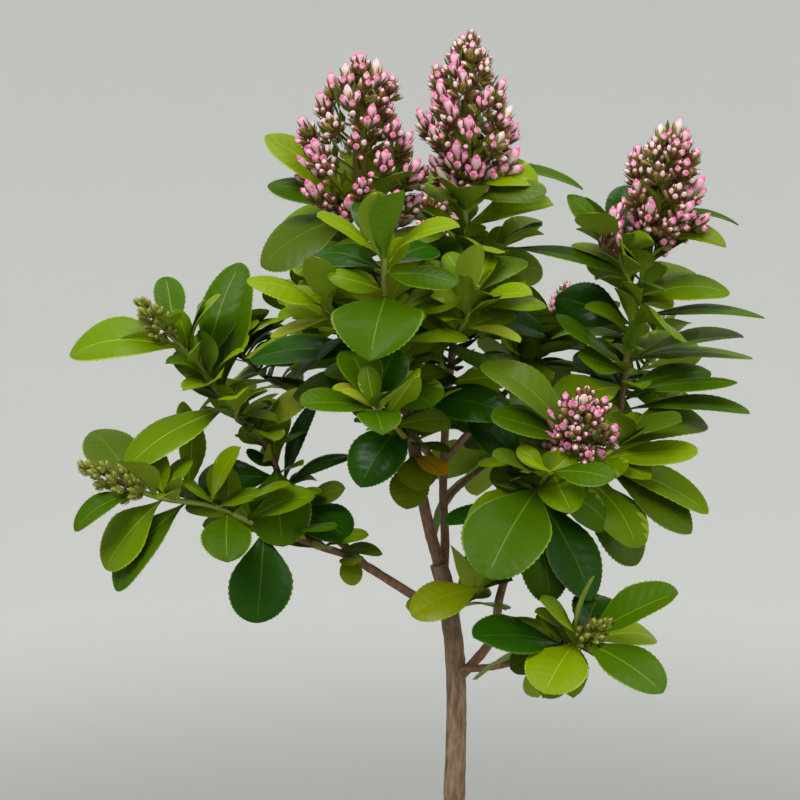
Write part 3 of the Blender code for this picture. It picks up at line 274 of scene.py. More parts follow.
MASSES = (
    Mass("foliage_left_low", (
        Shoot(((-0.050, -0.013, 0.529), (-0.062, -0.018, 0.535), (-0.075, -0.022, 0.541),
               (-0.094, -0.030, 0.550), (-0.115, -0.036, 0.561), (-0.136, -0.042, 0.566),
               (-0.149, -0.045, 0.571)), (0.0019, 0.0013),
              (Leaf(0.43, 270, -70, 0.045, 0.62), Leaf(0.60, 270, -25, 0.034, 0.64),
               Leaf(0.88, 195, -46, 0.042, 0.66), Leaf(0.78, 205, -40, 0.052, 0.44),
               Leaf(1.00, 200, -20, 0.034, 0.42), Leaf(0.99, 135, 38, 0.040, 0.56),
               Leaf(0.79, 90, 55, 0.052, 0.36, 50), Leaf(0.83, 160, 35, 0.017, 0.50),
               Leaf(0.04, 300, -45, 0.017, 0.62), Leaf(0.02, 285, 0, 0.014, 0.80),
               Leaf(0.11, 255, 25, 0.016, 0.70)),
              Ring(7, 0.38, 60, (0.026, 0.020), (10, 40)), Head(188, 28, 0.028, 0.017, 13, 0.009),
              sides=4),)),
    Mass("foliage_left_up", (
        Shoot(((-0.070, -0.006, 0.546), (-0.082, -0.007, 0.560), (-0.088, -0.008, 0.577),
               (-0.095, -0.010, 0.589), (-0.105, -0.014, 0.601), (-0.115, -0.018, 0.615),
               (-0.125, -0.020, 0.630), (-0.136, -0.021, 0.641)), (0.0018, 0.0012),
              (Leaf(0.27, 275, -40, 0.042, 0.68), Leaf(0.09, 325, -20, 0.032, 0.80),
               Leaf(0.22, 185, 0, 0.039, 0.60), Leaf(0.90, 185, 6, 0.053, 0.58),
               Leaf(0.95, 105, 45, 0.038, 0.36), Leaf(0.92, 185, 5, 0.032, 0.30, 60),
               Leaf(0.99, 275, 40, 0.020, 0.60), Leaf(0.76, 220, 30, 0.024, 0.50),
               Leaf(0.65, 60, 72, 0.058, 0.50, -20), Leaf(0.77, 60, 65, 0.056, 0.36),
               Leaf(0.75, 245, 80, 0.024, 0.55), Leaf(0.72, 240, 5, 0.024, 0.38),
               Leaf(0.72, 320, 50, 0.026, 0.42), Leaf(0.43, 10, 35, 0.037, 0.48),
               Leaf(0.60, 215, -20, 0.058, 0.40), Leaf(0.18, 30, 65, 0.044, 0.30),
               Leaf(0.18, 30, 20, 0.040, 0.30), Leaf(0.27, 205, 30, 0.017, 0.62)),
              Ring(8, 0.20, 100, (0.026, 0.018), (15, 50)), Head(200, 50, 0.020, 0.017, 10, 0.009),
              sides=4),
        Shoot(((-0.100, -0.0115, 0.594), (-0.104, -0.022, 0.600), (-0.102, -0.028, 0.608)),
              ring=Ring(7, 0.45, 200, (0.022, 0.013), (5, 65))))),
    Mass("foliage_front", (
        Shoot(((-0.020, -0.014, 0.578), (-0.025, -0.024, 0.609), (-0.031, -0.038, 0.640),
               (-0.034, -0.050, 0.668), (-0.034, -0.054, 0.680)), (0.0024, 0.0014),
              (Leaf(1.00, 215, 35, 0.042, 0.42), Leaf(0.95, 145, 10, 0.042, 0.46),
               Leaf(1.00, 110, 45, 0.038, 0.44), Leaf(1.00, 290, 60, 0.040, 0.42),
               Leaf(0.98, 330, 35, 0.042, 0.44), Leaf(0.96, 55, 10, 0.038, 0.50),
               Leaf(0.93, 330, 0, 0.036, 0.50), Leaf(0.83, 265, -20, 0.046, 0.82),
               Leaf(0.22, 230, -40, 0.042, 0.62), Leaf(0.30, 340, 0, 0.054, 0.45),
               Leaf(0.02, 275, -25, 0.024, 0.75), Leaf(0.02, 260, -50, 0.028, 0.62),
               Leaf(0.02, 310, -15, 0.022, 0.50)),
              Ring(12, 0.12, 20, (0.052, 0.020), (-10, 70)), sides=4),
        Shoot(((-0.0255, -0.0255, 0.612), (-0.040, -0.032, 0.632), (-0.052, -0.038, 0.646),
               (-0.064, -0.041, 0.658)), (0.0015, 0.0010),
              (Leaf(0.93, 220, 25, 0.044, 0.45), Leaf(0.90, 105, 50, 0.026, 0.50),
               Leaf(0.83, 210, -10, 0.034, 0.30), Leaf(0.65, 100, 40, 0.040, 0.45),
               Leaf(0.41, 170, 0, 0.058, 0.38), Leaf(0.65, 160, -35, 0.036, 0.45)),
              Ring(4, 0.45, 300, (0.026, 0.018), (20, 60))),
        Shoot(((-0.021, -0.0155, 0.584), (-0.029, -0.050, 0.602), (-0.039, -0.075, 0.616)),
              (0.0015, 0.0010),
              (Leaf(1.00, 110, 40, 0.036, 0.50), Leaf(1.00, 70, 40, 0.036, 0.50),
               Leaf(0.90, 315, 40, 0.032, 0.62), Leaf(1.00, 210, 10, 0.036, 0.52),
               Leaf(1.00, 215, 40, 0.020, 0.38), Leaf(0.95, 275, -5, 0.026, 0.70)),
              Ring(3, 0.45, 20, (0.028, 0.020), (10, 40))))),
    Mass("foliage_top_left", (
        Shoot(((-0.031, 0.020, 0.635), (-0.041, 0.018, 0.664), (-0.046, 0.014, 0.694)), (0.0018, 0.0017),
              (Leaf(1.00, 180, 40, 0.058, 0.42), Leaf(1.00, 192, -22, 0.054, 0.56),
               Leaf(1.00, 180, 20, 0.046, 0.40)),
              Ring(17, 0.08, 30, (0.052, 0.040), (-5, 35)), Head(275, 83, 0.072, 0.074, 34), sides=4),)),
    Mass("foliage_top", (
        Shoot(((-0.004, 0.012, 0.601), (0.000, 0.014, 0.641), (0.003, 0.016, 0.674),
               (0.005, 0.018, 0.712)), (0.0019, 0.0015),
              (Leaf(0.81, 95, 70, 0.042, 0.40), Leaf(0.85, 305, 70, 0.028, 0.26),
               Leaf(0.90, 325, 5, 0.044, 0.30, 40), Leaf(1.00, 10, -5, 0.058, 0.28),
               Leaf(0.46, 0, 0, 0.040, 0.42), Leaf(0.31, 10, 0, 0.046, 0.45)),
              Ring(19, 0.12, 150, (0.052, 0.038), (-5, 35)), Head(75, 86, 0.063, 0.056, 28), sides=4),
        Shoot(((0.003, 0.016, 0.664), (0.012, 0.018, 0.668), (0.022, 0.020, 0.675)), (0.0013, 0.0009),
              (Leaf(1.00, 315, 30, 0.028, 0.42), Leaf(1.00, 350, -10, 0.058, 0.32)),
              Ring(3, 0.50, 60, (0.030, 0.024), (0, 40))),
        Shoot(((-0.0030, 0.0125, 0.614), (-0.008, -0.005, 0.629), (0.002, -0.022, 0.644),
               (0.009, -0.030, 0.664)), (0.0015, 0.0010),
              (Leaf(0.93, 55, 25, 0.040, 0.50), Leaf(0.79, 320, 25, 0.036, 0.45),
               Leaf(0.66, 325, -5, 0.034, 0.34), Leaf(0.74, 270, 60, 0.030, 0.26),
               Leaf(0.13, 220, 20, 0.030, 0.45), Leaf(0.16, 110, 40, 0.034, 0.36)),
              Ring(4, 0.50, 10, (0.030, 0.022), (10, 50))))),
    Mass("foliage_right_mid", (
        Shoot(((0.032, -0.030, 0.557), (0.042, -0.042, 0.578), (0.050, -0.052, 0.590),
               (0.052, -0.056, 0.598)), (0.0018, 0.0014),
              (Leaf(1.00, 165, 45, 0.054, 0.44), Leaf(0.94, 185, 20, 0.040, 0.42),
               Leaf(0.27, 165, 50, 0.046, 0.50), Leaf(0.22, 330, -55, 0.056, 0.52),
               Leaf(0.06, 290, -45, 0.048, 0.46), Leaf(0.02, 220, 0, 0.048, 0.32)),
              Ring(11, 0.10, 80, (0.048, 0.026), (-35, 30)), Head(285, 55, 0.028, 0.042, 18, 0.011),
              sides=4),
        Shoot(((0.0340, -0.0325, 0.5615), (0.038, -0.056, 0.578), (0.040, -0.070, 0.586)), (0.0014, 0.0010),
              (Leaf(0.56, 235, -35, 0.056, 0.68), Leaf(0.92, 240, 30, 0.022, 0.62),
               Leaf(1.00, 325, 5, 0.034, 0.46)),
              Ring(5, 0.60, 100, (0.022, 0.014), (20, 60))))),
    Mass("foliage_right", (
        Shoot(((0.050, -0.006, 0.556), (0.060, -0.004, 0.566), (0.070, -0.001, 0.575),
               (0.079, 0.002, 0.581)), (0.0016, 0.0010),
              (Leaf(0.70, 330, 10, 0.050, 0.36), Leaf(0.91, 320, 30, 0.044, 0.50),
               Leaf(0.96, 20, 15, 0.050, 0.46), Leaf(0.66, 345, -20, 0.058, 0.36),
               Leaf(0.66, 340, -30, 0.056, 0.42), Leaf(0.58, 290, -60, 0.030, 0.50),
               Leaf(0.46, 325, -55, 0.050, 0.50), Leaf(0.61, 320, 0, 0.032, 0.46)),
              Ring(13, 0.20, 40, (0.050, 0.024), (-40, 50)), sides=4),)),
    Mass("foliage_right_top", (
        Shoot(((0.080, 0.024, 0.586), (0.084, 0.024, 0.619), (0.088, 0.022, 0.649),
               (0.093, 0.020, 0.671), (0.095, 0.018, 0.688)), (0.0017, 0.0015),
              (Leaf(0.63, 350, 10, 0.044, 0.46), Leaf(0.52, 350, 5, 0.063, 0.30),
               Leaf(0.31, 355, 15, 0.058, 0.34), Leaf(0.33, 5, 0, 0.062, 0.30),
               Leaf(0.49, 150, 18, 0.044, 0.50, -40), Leaf(0.28, 200, 35, 0.046, 0.44),
               Leaf(0.18, 120, 20, 0.038, 0.50), Leaf(0.26, 245, 25, 0.020, 0.62),
               Leaf(0.30, 300, 65, 0.032, 0.50), Leaf(0.15, 340, 10, 0.058, 0.28),
               Leaf(0.18, 20, 5, 0.050, 0.36), Leaf(0.07, 340, 5, 0.064, 0.26),
               Leaf(0.91, 340, 5, 0.036, 0.46), Leaf(1.00, 10, 5, 0.042, 0.28),
               Leaf(0.63, 40, 20, 0.040, 0.46), Leaf(0.67, 305, 60, 0.028, 0.36),
               Leaf(0.59, 315, 10, 0.022, 0.60)),
              Ring(9, 0.10, 230, (0.046, 0.032), (-5, 45)), Head(340, 76, 0.047, 0.050, 24, 0.012),
              sides=4),
        Shoot(((0.088, 0.022, 0.649), (0.079, 0.012, 0.669), (0.074, 0.008, 0.684)), (0.0013, 0.0009),
              (Leaf(0.69, 165, 48, 0.038, 0.52), Leaf(0.87, 210, 55, 0.028, 0.34),
               Leaf(0.78, 75, 50, 0.036, 0.42), Leaf(0.58, 275, 55, 0.020, 0.40)),
              Ring(2, 0.80, 20, (0.026, 0.022), (40, 60)), Head(40, 75, 0.014, 0.012, 4, 0.008)))),
    Mass("foliage_right_low", (
        Shoot(((0.037, -0.040, 0.489), (0.047, -0.062, 0.501), (0.052, -0.072, 0.506),
               (0.056, -0.078, 0.509)), (0.0015, 0.0011),
              (Leaf(0.66, 210, 15, 0.052, 0.52), Leaf(0.87, 245, -15, 0.042, 0.62),
               Leaf(0.98, 310, -10, 0.052, 0.40), Leaf(1.00, 345, 30, 0.050, 0.44),
               Leaf(0.94, 210, 50, 0.032, 0.52), Leaf(1.00, 30, -5, 0.044, 0.44),
               Leaf(0.90, 95, -65, 0.032, 0.42), Leaf(0.30, 110, -60, 0.034, 0.46),
               Leaf(0.95, 70, 20, 0.040, 0.46)),
              Ring(7, 0.15, 150, (0.040, 0.020), (-30, 40)), Head(330, 40, 0.017, 0.015, 9, 0.008),
              sides=4),)),
    Mass("foliage_sprig", (
        Shoot(((-0.002, -0.003, 0.498), (0.008, -0.018, 0.511), (0.013, -0.025, 0.518)), (0.0012, 0.0009),
              (Leaf(1.00, 205, -8, 0.038, 0.60), Leaf(0.90, 330, 30, 0.018, 0.50)),
              Ring(3, 0.40, 60, (0.020, 0.013), (0, 40))),)),
    Mass("foliage_back_left", (
        Shoot(((-0.042, 0.054, 0.602), (-0.058, 0.074, 0.622), (-0.066, 0.088, 0.646)), (0.0015, 0.0011),
              ring=Ring(15, 0.05, 20, (0.046, 0.026), (-20, 60)), head=Head(120, 75, 0.018, 0.015, 7, 0.008),
              twigs=2, sides=4),)),
    Mass("foliage_back", (
        Shoot(((-0.008, 0.058, 0.622), (-0.010, 0.076, 0.640), (-0.009, 0.090, 0.660)), (0.0015, 0.0013),
              ring=Ring(15, 0.05, 95, (0.048, 0.034), (-20, 50)), head=Head(95, 78, 0.036, 0.034, 12, 0.012),
              twigs=2, sides=4),)),
    Mass("foliage_back_right", (
        Shoot(((0.030, 0.056, 0.600), (0.044, 0.076, 0.610), (0.056, 0.092, 0.624)), (0.0015, 0.0011),
              ring=Ring(15, 0.05, 150, (0.046, 0.028), (-25, 55)), head=Head(70, 60, 0.024, 0.024, 9, 0.010),
              twigs=2, sides=4),)),
    Mass("foliage_left_back", (
        Shoot(((-0.084, 0.048, 0.600), (-0.102, 0.056, 0.610), (-0.114, 0.062, 0.626)), (0.0014, 0.0010),
              ring=Ring(14, 0.05, 60, (0.040, 0.024), (-20, 55)), twigs=1, sides=4),)),
    Mass("foliage_right_back", (
        Shoot(((0.078, 0.060, 0.592), (0.096, 0.074, 0.602), (0.108, 0.084, 0.618)), (0.0014, 0.0010),
              ring=Ring(15, 0.05, 110, (0.044, 0.026), (-25, 55)), head=Head(40, 60, 0.016, 0.014, 6, 0.008),
              twigs=1, sides=4),)),
    Mass("foliage_back_low", (
        Shoot(((0.018, 0.054, 0.560), (0.028, 0.074, 0.562), (0.034, 0.092, 0.570)), (0.0014, 0.0010),
              ring=Ring(14, 0.05, 200, (0.048, 0.028), (-45, 40)), twigs=1, sides=4),)),
)

# The tone of each leaf that is placed by name, in the order of its shoot's leaves. The tones are partly the
# leaves' own and partly painted light and shade: a d stands partly for shade, a g partly for sheen, and some
# letters are lighter to make up for shade.
SEEN_TONES: dict[str, tuple[str, ...]] = {
    "foliage_left_low": ("dmfmmgfdoop",),
    "foliage_left_up": ("mddfmpbmmmdbbpfddd", ""),
    "foliage_front": ("bddgbdmmddooa", "bfpmdd", "mdfmpm"),
    "foliage_top_left": ("bgm",),
    "foliage_top": ("dbgmdd", "dm", "gbppmd"),
    "foliage_right_mid": ("gmddmd", "mbm"),
    "foliage_right": ("bggfgggb",),
    "foliage_right_top": ("fmgfdmdfmmmmomogo", "mfdo"),
    "foliage_right_low": ("dbmmfbdpd",),
    "foliage_sprig": ("ym",),
}

# What the rule deals to the other leaves, from a shoot's foot to its tip. Partly painted light: these tones
# were made lighter to make up for the shade inside the crown.
RING_TONES = ("mffffg", "ffbfmf", "fbbfbg", "bbbfpf")

# The pieces that the leaves are joined into, and the masses in each
LEAF_PIECES: dict[str, tuple[str, ...]] = {
    "leaves_left": ("foliage_left_low", "foliage_left_up", "foliage_left_back"),
    "leaves_front": ("foliage_front", "foliage_sprig", "foliage_right_low"),
    "leaves_top": ("foliage_top", "foliage_top_left", "foliage_back"),
    "leaves_right": ("foliage_right", "foliage_right_mid", "foliage_right_top"),
    "leaves_back": ("foliage_back_left", "foliage_back_right", "foliage_right_back", "foliage_back_low"),
}


class Stem:
    """A smooth curve through a limb's or a shoot's points, with a radius all along it."""

    STEPS = 6

    def __init__(self, points: Iterable, radius: tuple, before: Optional[tuple] = None,
                 after: Optional[tuple] = None, flare: float = 0.0) -> None:
        """Draws the curve.

        Args:
            points: what the stem passes through.
            radius: its radius at its root and at its tip.
            before: the point that it would come from.
            after: the point that it would go on to.
            flare: how much its foot swells.
        """
        ends = [Vector(point) for point in points]
        first = Vector(before) if before else ends[0] * 2 - ends[1]
        last = Vector(after) if after else ends[-1] * 2 - ends[-2]
        ends = [first, *ends, last]
        self.points: list[Vector] = []
        for before, here, there, after in zip(ends, ends[1:], ends[2:], ends[3:]):
            for step in range(self.STEPS):
                t = step / self.STEPS
                self.points.append(0.5 * (2 * here + (there - before) * t
                                          + (2 * before - 5 * here + 4 * there - after) * t * t
                                          + (3 * here - before - 3 * there + after) * t ** 3))
        self.points.append(ends[-2])
        self.radius = radius
        self.flare = flare
        self.reached = [0.0]
        for here, there in zip(self.points, self.points[1:]):
            self.reached.append(self.reached[-1] + (there - here).length)

    @property
    def length(self) -> float:
        """The length along the curve."""
        return self.reached[-1]

    def at(self, share: float) -> tuple[Vector, Vector, float]:
        """Finds a place on the curve.

        Args:
            share: how far along it is, as a share of the length.

        Returns:
            The point, the direction and the radius there.
        """
        wanted = min(max(share, 0.0), 1.0) * self.length
        index = 0
        while index < len(self.points) - 2 and self.reached[index + 1] < wanted:
            index += 1
        here, there = self.points[index], self.points[index + 1]
        along = (wanted - self.reached[index]) / (self.reached[index + 1] - self.reached[index])
        return here.lerp(there, along), (there - here).normalized(), mix(*self.radius, share)

    def foot(self, point: Vector, angle: float = 0.0) -> float:
        """Gives what the flare adds to the radius near the foot, where it swells in three lobes."""
        height = (point - self.points[0]).length
        return self.flare * math.exp(-height / FLARE_HEIGHT) * (0.75 + 0.35 * math.cos(3 * angle))

    def within(self, point: Vector) -> float:
        """Gives how far a point lies from the stem."""
        return min((point - near).length for near in self.points)

    def strays(self, point: Vector, near: Vector, after: Vector) -> float:
        """Gives how far a point lies from the line between two others.

        Args:
            point: the point.
            near: the line's start.
            after: its end.

        Returns:
            The distance, or what the flare's swelling is off by there, if that is more.
        """
        line = (after - near).normalized()
        offset = point - near
        along = offset.dot(line) / (after - near).length
        off_line = (offset - line * offset.dot(line)).length
        off_foot = abs(self.foot(point) - mix(self.foot(near), self.foot(after), along))
        return max(off_line, off_foot)

    def bends(self, start: float = 0.0, limit: float = 0.0004) -> list[tuple[Vector, float]]:
        """Gives (point, share) where the stem turns or its radius changes.

        Args:
            start: the share of the length to begin at.
            limit: how far a point may be from the line between its neighbours and be left out.

        Returns:
            Enough points to draw the stem.
        """
        kept: list[tuple[Vector, float]] = []
        passed: list[Vector] = []
        for index, (point, reached) in enumerate(zip(self.points, self.reached)):
            if reached < start * self.length:
                continue
            passed.append(point)
            if kept and index < len(self.points) - 1:
                near, after = kept[-1][0], self.points[index + 1]
                if max(self.strays(skipped, near, after) for skipped in passed) < limit:
                    continue
            kept.append((point, reached / self.length))
            passed = []
        return kept


def limb_stem(limb: Limb) -> Stem:
    """Draws a limb's curve, which goes on into the main shoot of the mass that it carries.

    Args:
        limb: the trunk or a bough.

    Returns:
        The curve.
    """
    mass = next((mass for mass in MASSES if mass.shoots[0].path[0] == limb.path[-1]), None)
    after = mass.shoots[0].path[1] if mass else None
    return Stem(limb.path, limb.radius, after=after, flare=limb.flare)


def rings_to_faces(rings: int, sides: int) -> list[tuple[int, ...]]:
    """Gives the faces of a closed tube of rings, with both its ends capped.

    Args:
        rings: how many rings there are.
        sides: the points of a ring.

    Returns:
        The faces: the sides first, then the two caps.
    """
    faces = []
    for ring in range(rings - 1):
        for side in range(sides):
            here, there = ring * sides + side, ring * sides + (side + 1) % sides
            faces.append((here, there, there + sides, here + sides))
    faces.append(tuple(reversed(range(sides))))
    faces.append(tuple(range((rings - 1) * sides, rings * sides)))
    return faces


def fan_to_faces(rings: int, sides: int) -> list[tuple[int, ...]]:
    """Gives the faces of an open sheet: rings round a middle point, which comes first.

    Args:
        rings: how many rings there are.
        sides: the points of a ring.

    Returns:
        The faces, one sector after another.
    """
    faces = []
    for side in range(sides):
        after = (side + 1) % sides
        faces.append((0, 1 + side, 1 + after))
        for ring in range(rings - 1):
            low, high = 1 + ring * sides, 1 + (ring + 1) * sides
            faces.append((low + side, high + side, high + after, low + after))
    return faces


def tube(stem: Stem, sides: int, grow: float = 0.0, start: float = 0.0) -> Shape:
    """Gives a closed tapering tube along a stem, in as few faces as it takes.

    Args:
        stem: the stem.
        sides: the tube's sides.
        grow: what is added to its radius and at its ends.
        start: the share of the stem's length where it begins.

    Returns:
        The points and faces.
    """
    line = stem.bends(start)
    across = (line[1][0] - line[0][0]).normalized().orthogonal().normalized()
    points = []
    for index, (centre, share) in enumerate(line):
        before, after = line[max(index - 1, 0)][0], line[min(index + 1, len(line) - 1)][0]
        along = (after - before).normalized()
        across = (across - along * across.dot(along)).normalized()
        beyond = grow * ((index == len(line) - 1) - (index == 0))
        for side in range(sides):
            angle = 2 * math.pi * side / sides
            reach = mix(*stem.radius, share) + stem.foot(centre, angle) * bool(stem.flare) + grow
            points.append(centre + along * beyond + (Quaternion(along, angle) @ across) * reach)
    return points, rings_to_faces(len(line), sides)


def leaf_axes(leaf: Leaf) -> tuple[Vector, Vector, Vector]:
    """Works out a leaf's three directions.

    Args:
        leaf: the leaf.

    Returns:
        The directions to its tip, across its blade, and up from its upper side.
    """
    along = bearing(leaf.compass, leaf.rise)
    turn = math.radians(leaf.compass)
    upright = along.cross(Vector((-math.sin(turn), math.cos(turn), 0.0)))
    facing = Vector((*leaf.faces, 0.0)) * FACE_TURN
    upright = (upright + facing - along * facing.dot(along)).normalized()
    up = Quaternion(along, math.radians(leaf.roll)) @ upright
    return along, up.cross(along), up


def blade(root: Vector, leaf: Leaf, radius: float, sides: tuple, grow: float = 0.0,
          start: float = 0.0) -> Shape:
    """Gives the plain blade that keeps a leaf's space.

    Args:
        root: where the leaf springs.
        leaf: the leaf.
        radius: its stem's radius there.
        sides: the outline's side points.
        grow: what is added all round.
        start: the share of the length where it begins.

    Returns:
        The points and faces.
    """
    along, across, up = leaf_axes(leaf)
    half = leaf.length * leaf.width / 2 + grow
    thick = max(leaf.length * LEAF_THICKNESS, LEAF_LEAST_THICKNESS) / 2 + grow
    arch = 4 * LEAF_ARCH * leaf.length

    def place(share: float, side: float, lift: float = 0.0) -> Vector:
        """Gives the point at a share of the length and of the half-width."""
        bulge = arch * share * (1 - share) + abs(side) * half * LEAF_FOLD
        return root + along * (leaf.length * share) + across * (side * half) + up * (bulge + lift)

    sink = radius * LEAF_SINK if start == 0 else -start * leaf.length
    points = [root - along * sink, *(place(share, -side) for share, side in sides),
              place(1 + grow / leaf.length, 0), *(place(share, side) for share, side in reversed(sides)),
              place(LEAF_RIDGE, 0, thick), place(LEAF_RIDGE, 0, -thick)]
    faces, round_it = [], len(points) - 2
    for here in range(round_it):
        there = (here + 1) % round_it
        faces.append((here, there, round_it + 1))
        faces.append((there, here, round_it))
    return points, faces


def cone_width(share: float) -> float:
    """Gives how wide a flower head is at a share of its height, as a share of its full width."""
    return math.sqrt(max(0.0, min(1.0, (share + 0.10) / 0.28))) * (1 - 0.70 * share * share)


def turned_on(root: Vector, axis: Vector, rings: Iterable, sides: int) -> Shape:
    """Gives a closed shape turned on an axis.

    Args:
        root: where the axis starts.
        axis: its direction.
        rings: pairs of height and radius.
        sides: how many sides it has.

    Returns:
        The points and faces.
    """
    across = axis.orthogonal().normalized()
    points = []
    rings = list(rings)
    for height, radius in rings:
        for side in range(sides):
            spoke = Quaternion(axis, 2 * math.pi * side / sides) @ across
            points.append(root + axis * height + spoke * radius)
    return points, rings_to_faces(len(rings), sides)


def head_hull(root: Vector, head: Head) -> Shape:
    """Gives the space that a flower head fills.

    Args:
        root: where it starts.
        head: the head.

    Returns:
        The points and faces.
    """
    levels = (0.0, 0.2, 0.55, 1.0)
    rings = [(level * head.length, head.width / 2 * cone_width(level)) for level in levels]
    return turned_on(root, bearing(head.compass, head.rise), rings, 8)


class Space:
    """Everything placed so far, by owner, so that a new piece can be kept clear of it."""

    def __init__(self) -> None:
        """Starts empty."""
        self.owners: list[str] = []
        self.trees: list[BVHTree] = []
        self.lows: list[np.ndarray] = []
        self.highs: list[np.ndarray] = []

    def add(self, owner: str, shape: Shape) -> None:
        """Takes the room of a shape.

        Args:
            owner: whose it is.
            shape: the points and faces.
        """
        points, faces = shape
        self.owners.append(owner)
        self.trees.append(BVHTree.FromPolygons(points, faces))
        corners = np.array(points)
        self.lows.append(corners.min(axis=0))
        self.highs.append(corners.max(axis=0))

    def blocked(self, shape: Shape, by: Callable[[str], bool]) -> bool:
        """Tells whether a shape meets anything whose owner is accepted.

        Args:
            shape: the points and faces.
            by: tells of an owner whether it counts.

        Returns:
            Whether there is such a meeting.
        """
        points, faces = shape
        corners = np.array(points)
        low, high = corners.min(axis=0), corners.max(axis=0)
        apart = (np.array(self.lows) > high).any(axis=1) | (np.array(self.highs) < low).any(axis=1)
        near = [index for index in np.flatnonzero(~apart) if by(self.owners[index])]
        if not near:
            return False
        tree = BVHTree.FromPolygons(points, faces)
        return any(tree.overlap(self.trees[index]) for index in near)


@dataclass
class Grown:
    """A leaf in its place: where it springs, its stem's radius there, and its tone."""

    root: Vector
    leaf: Leaf
    radius: float
    tone: Tone
    named: bool = False


class Grower:
    """Grows one mass: its stems first, then the leaves placed by name, then those set by rule."""

    TRIES = ((0, 0), (18, 8), (-18, 8), (0, 22), (34, 12), (-34, 12), (12, -22), (-12, 36))
    AXIL_TRIES = ((0, 0), (25, 10), (-25, 10), (0, 30), (50, 0), (-50, 20), (80, 15), (-80, 30), (140, 10))

    def __init__(self, mass: Mass, space: Space) -> None:
        """Starts with nothing grown.

        Args:
            mass: the mass.
            space: what all the masses share.
        """
        self.mass = mass
        self.space = space
        self.random = random.Random(f"{SEED} {mass.name}")
        self.detail = random.Random(f"{SEED} {mass.name} detail")
        self.stems: list[tuple[Shoot, Stem]] = []
        self.leaves: list[Grown] = []
        self.heads: list[tuple[Vector, Head, float]] = []

    def others(self, owner: str) -> bool:
        """Tells whether an owner is another mass or a limb."""
        return owner.split("/")[0] != self.mass.name

    def own_blades(self, owner: str) -> bool:
        """Tells whether an owner is anything but this mass's own stems."""
        return self.others(owner) or owner.endswith(("/leaf", "/head"))

    def grow_stems(self) -> None:
        """Grows all the mass's stems. The main one goes on from the tip of its bough."""
        bough = next((limb for limb in LIMBS if limb.path[-1] == self.mass.shoots[0].path[0]), None)
        for index, shoot in enumerate(self.mass.shoots):
            if index == 0 and bough:
                on = (Vector(shoot.path[1]) - Vector(bough.path[-2])).normalized()
                start = Vector(shoot.path[0]) + on * GAP
                self.add_shoot(shoot, Stem((start, *shoot.path[1:]), shoot.radius, bough.path[-2]))
            else:
                self.add_shoot(shoot, Stem(shoot.path, shoot.radius))

    def add_shoot(self, shoot: Shoot, stem: Stem) -> None:
        """Adds a stem with its head and its twigs.

        Args:
            shoot: the shoot.
            stem: its curve.
        """
        self.stems.append((shoot, stem))
        self.space.add(f"{self.mass.name}/stem", tube(stem, shoot.sides))
        if shoot.head:
            self.add_head(shoot.head, stem)
        for number in range(shoot.twigs):
            self.add_twig(shoot, stem, number)

    def add_twig(self, shoot: Shoot, stem: Stem, number: int) -> None:
        """Adds a side twig by rule: it leaves at a wide angle and turns up towards its tip.

        Args:
            shoot: the shoot that carries it.
            stem: that shoot's curve.
            number: which of the shoot's twigs it is.
        """
        root, _, radius = stem.at(mix(0.30, 0.75, (number + 0.5) / shoot.twigs))
        compass = shoot.ring.first + 70 + GOLDEN_ANGLE * number + self.random.uniform(-15, 15)
        length = self.random.uniform(0.020, 0.028)
        bend = root + bearing(compass, 20) * length * 0.5
        tip = bend + bearing(compass, 55) * length * 0.5
        ring = Ring(6, 0.35, self.random.uniform(0, 360), (0.034, 0.022), (0, 60))
        twig = Shoot((root, bend, tip), (radius * 0.7, radius * 0.5), ring=ring)
        grown = Stem(twig.path, twig.radius)
        if not self.space.blocked(tube(grown, 3, CLEARANCE, 0.3), self.own_blades):
            self.add_shoot(twig, grown)

    def add_head(self, head: Head, stem: Stem) -> None:
        """Keeps a flower head's place. The solid head draws once for each of its sprays.

        Args:
            head: the head.
            stem: the curve that it ends.
        """
        root, _, radius = stem.at(1.0)
        for _ in range(head.sprays):
            self.random.uniform(0.90, 1.0)
        self.heads.append((root, head, radius))
        self.space.add(f"{self.mass.name}/head", head_hull(root, head))

    def spring(self, stem: Stem, share: float) -> tuple[Vector, float]:
        """Gives where a leaf at a share of a stem springs, and the stem's radius there."""
        root, _, radius = stem.at(min(share, 1 - stem.radius[1] * 0.8 / stem.length))
        return root, radius

    def fits(self, root: Vector, leaf: Leaf, radius: float, sides: tuple,
             by: Callable[[str], bool]) -> bool:
        """Tells whether a leaf has room and stays within the mass's reach.

        Args:
            root: where it springs.
            leaf: the leaf.
            radius: its stem's radius there.
            sides: the outline's side points.
            by: tells of an owner whether it may not be touched.

        Returns:
            Whether it fits.
        """
        tip = root + bearing(leaf.compass, leaf.rise) * leaf.length
        if min(stem.within(tip) for _, stem in self.stems) > self.mass.reach:
            return False
        return not self.space.blocked(blade(root, leaf, radius, sides, CLEARANCE, 0.18), by)

    def keep(self, root: Vector, leaf: Leaf, radius: float, sides: tuple, tone: Tone) -> None:
        """Adds a leaf and takes its room."""
        self.leaves.append(Grown(root, leaf, radius, tone, sides is SEEN_SIDES))
        self.space.add(f"{self.mass.name}/leaf", blade(root, leaf, radius, sides))

    def grow_seen(self) -> None:
        """Grows the leaves that make the crown's outline."""
        tones = SEEN_TONES.get(self.mass.name, ())
        for index, (shoot, stem) in enumerate(self.stems):
            for number, leaf in enumerate(shoot.leaves):
                root, radius = self.spring(stem, leaf.at)
                if self.fits(root, leaf, radius, SEEN_SIDES, self.others):
                    self.keep(root, leaf, radius, SEEN_SIDES, Tone(tones[index][number]))

    def ring_tone(self, share: float) -> Tone:
        """Deals a tone to a leaf at a share of its shoot. The tones are lightened as painted light, against
        the shade inside the crown.
        """
        choices = RING_TONES[min(int(share * len(RING_TONES)), len(RING_TONES) - 1)]
        return Tone(self.detail.choice(choices))

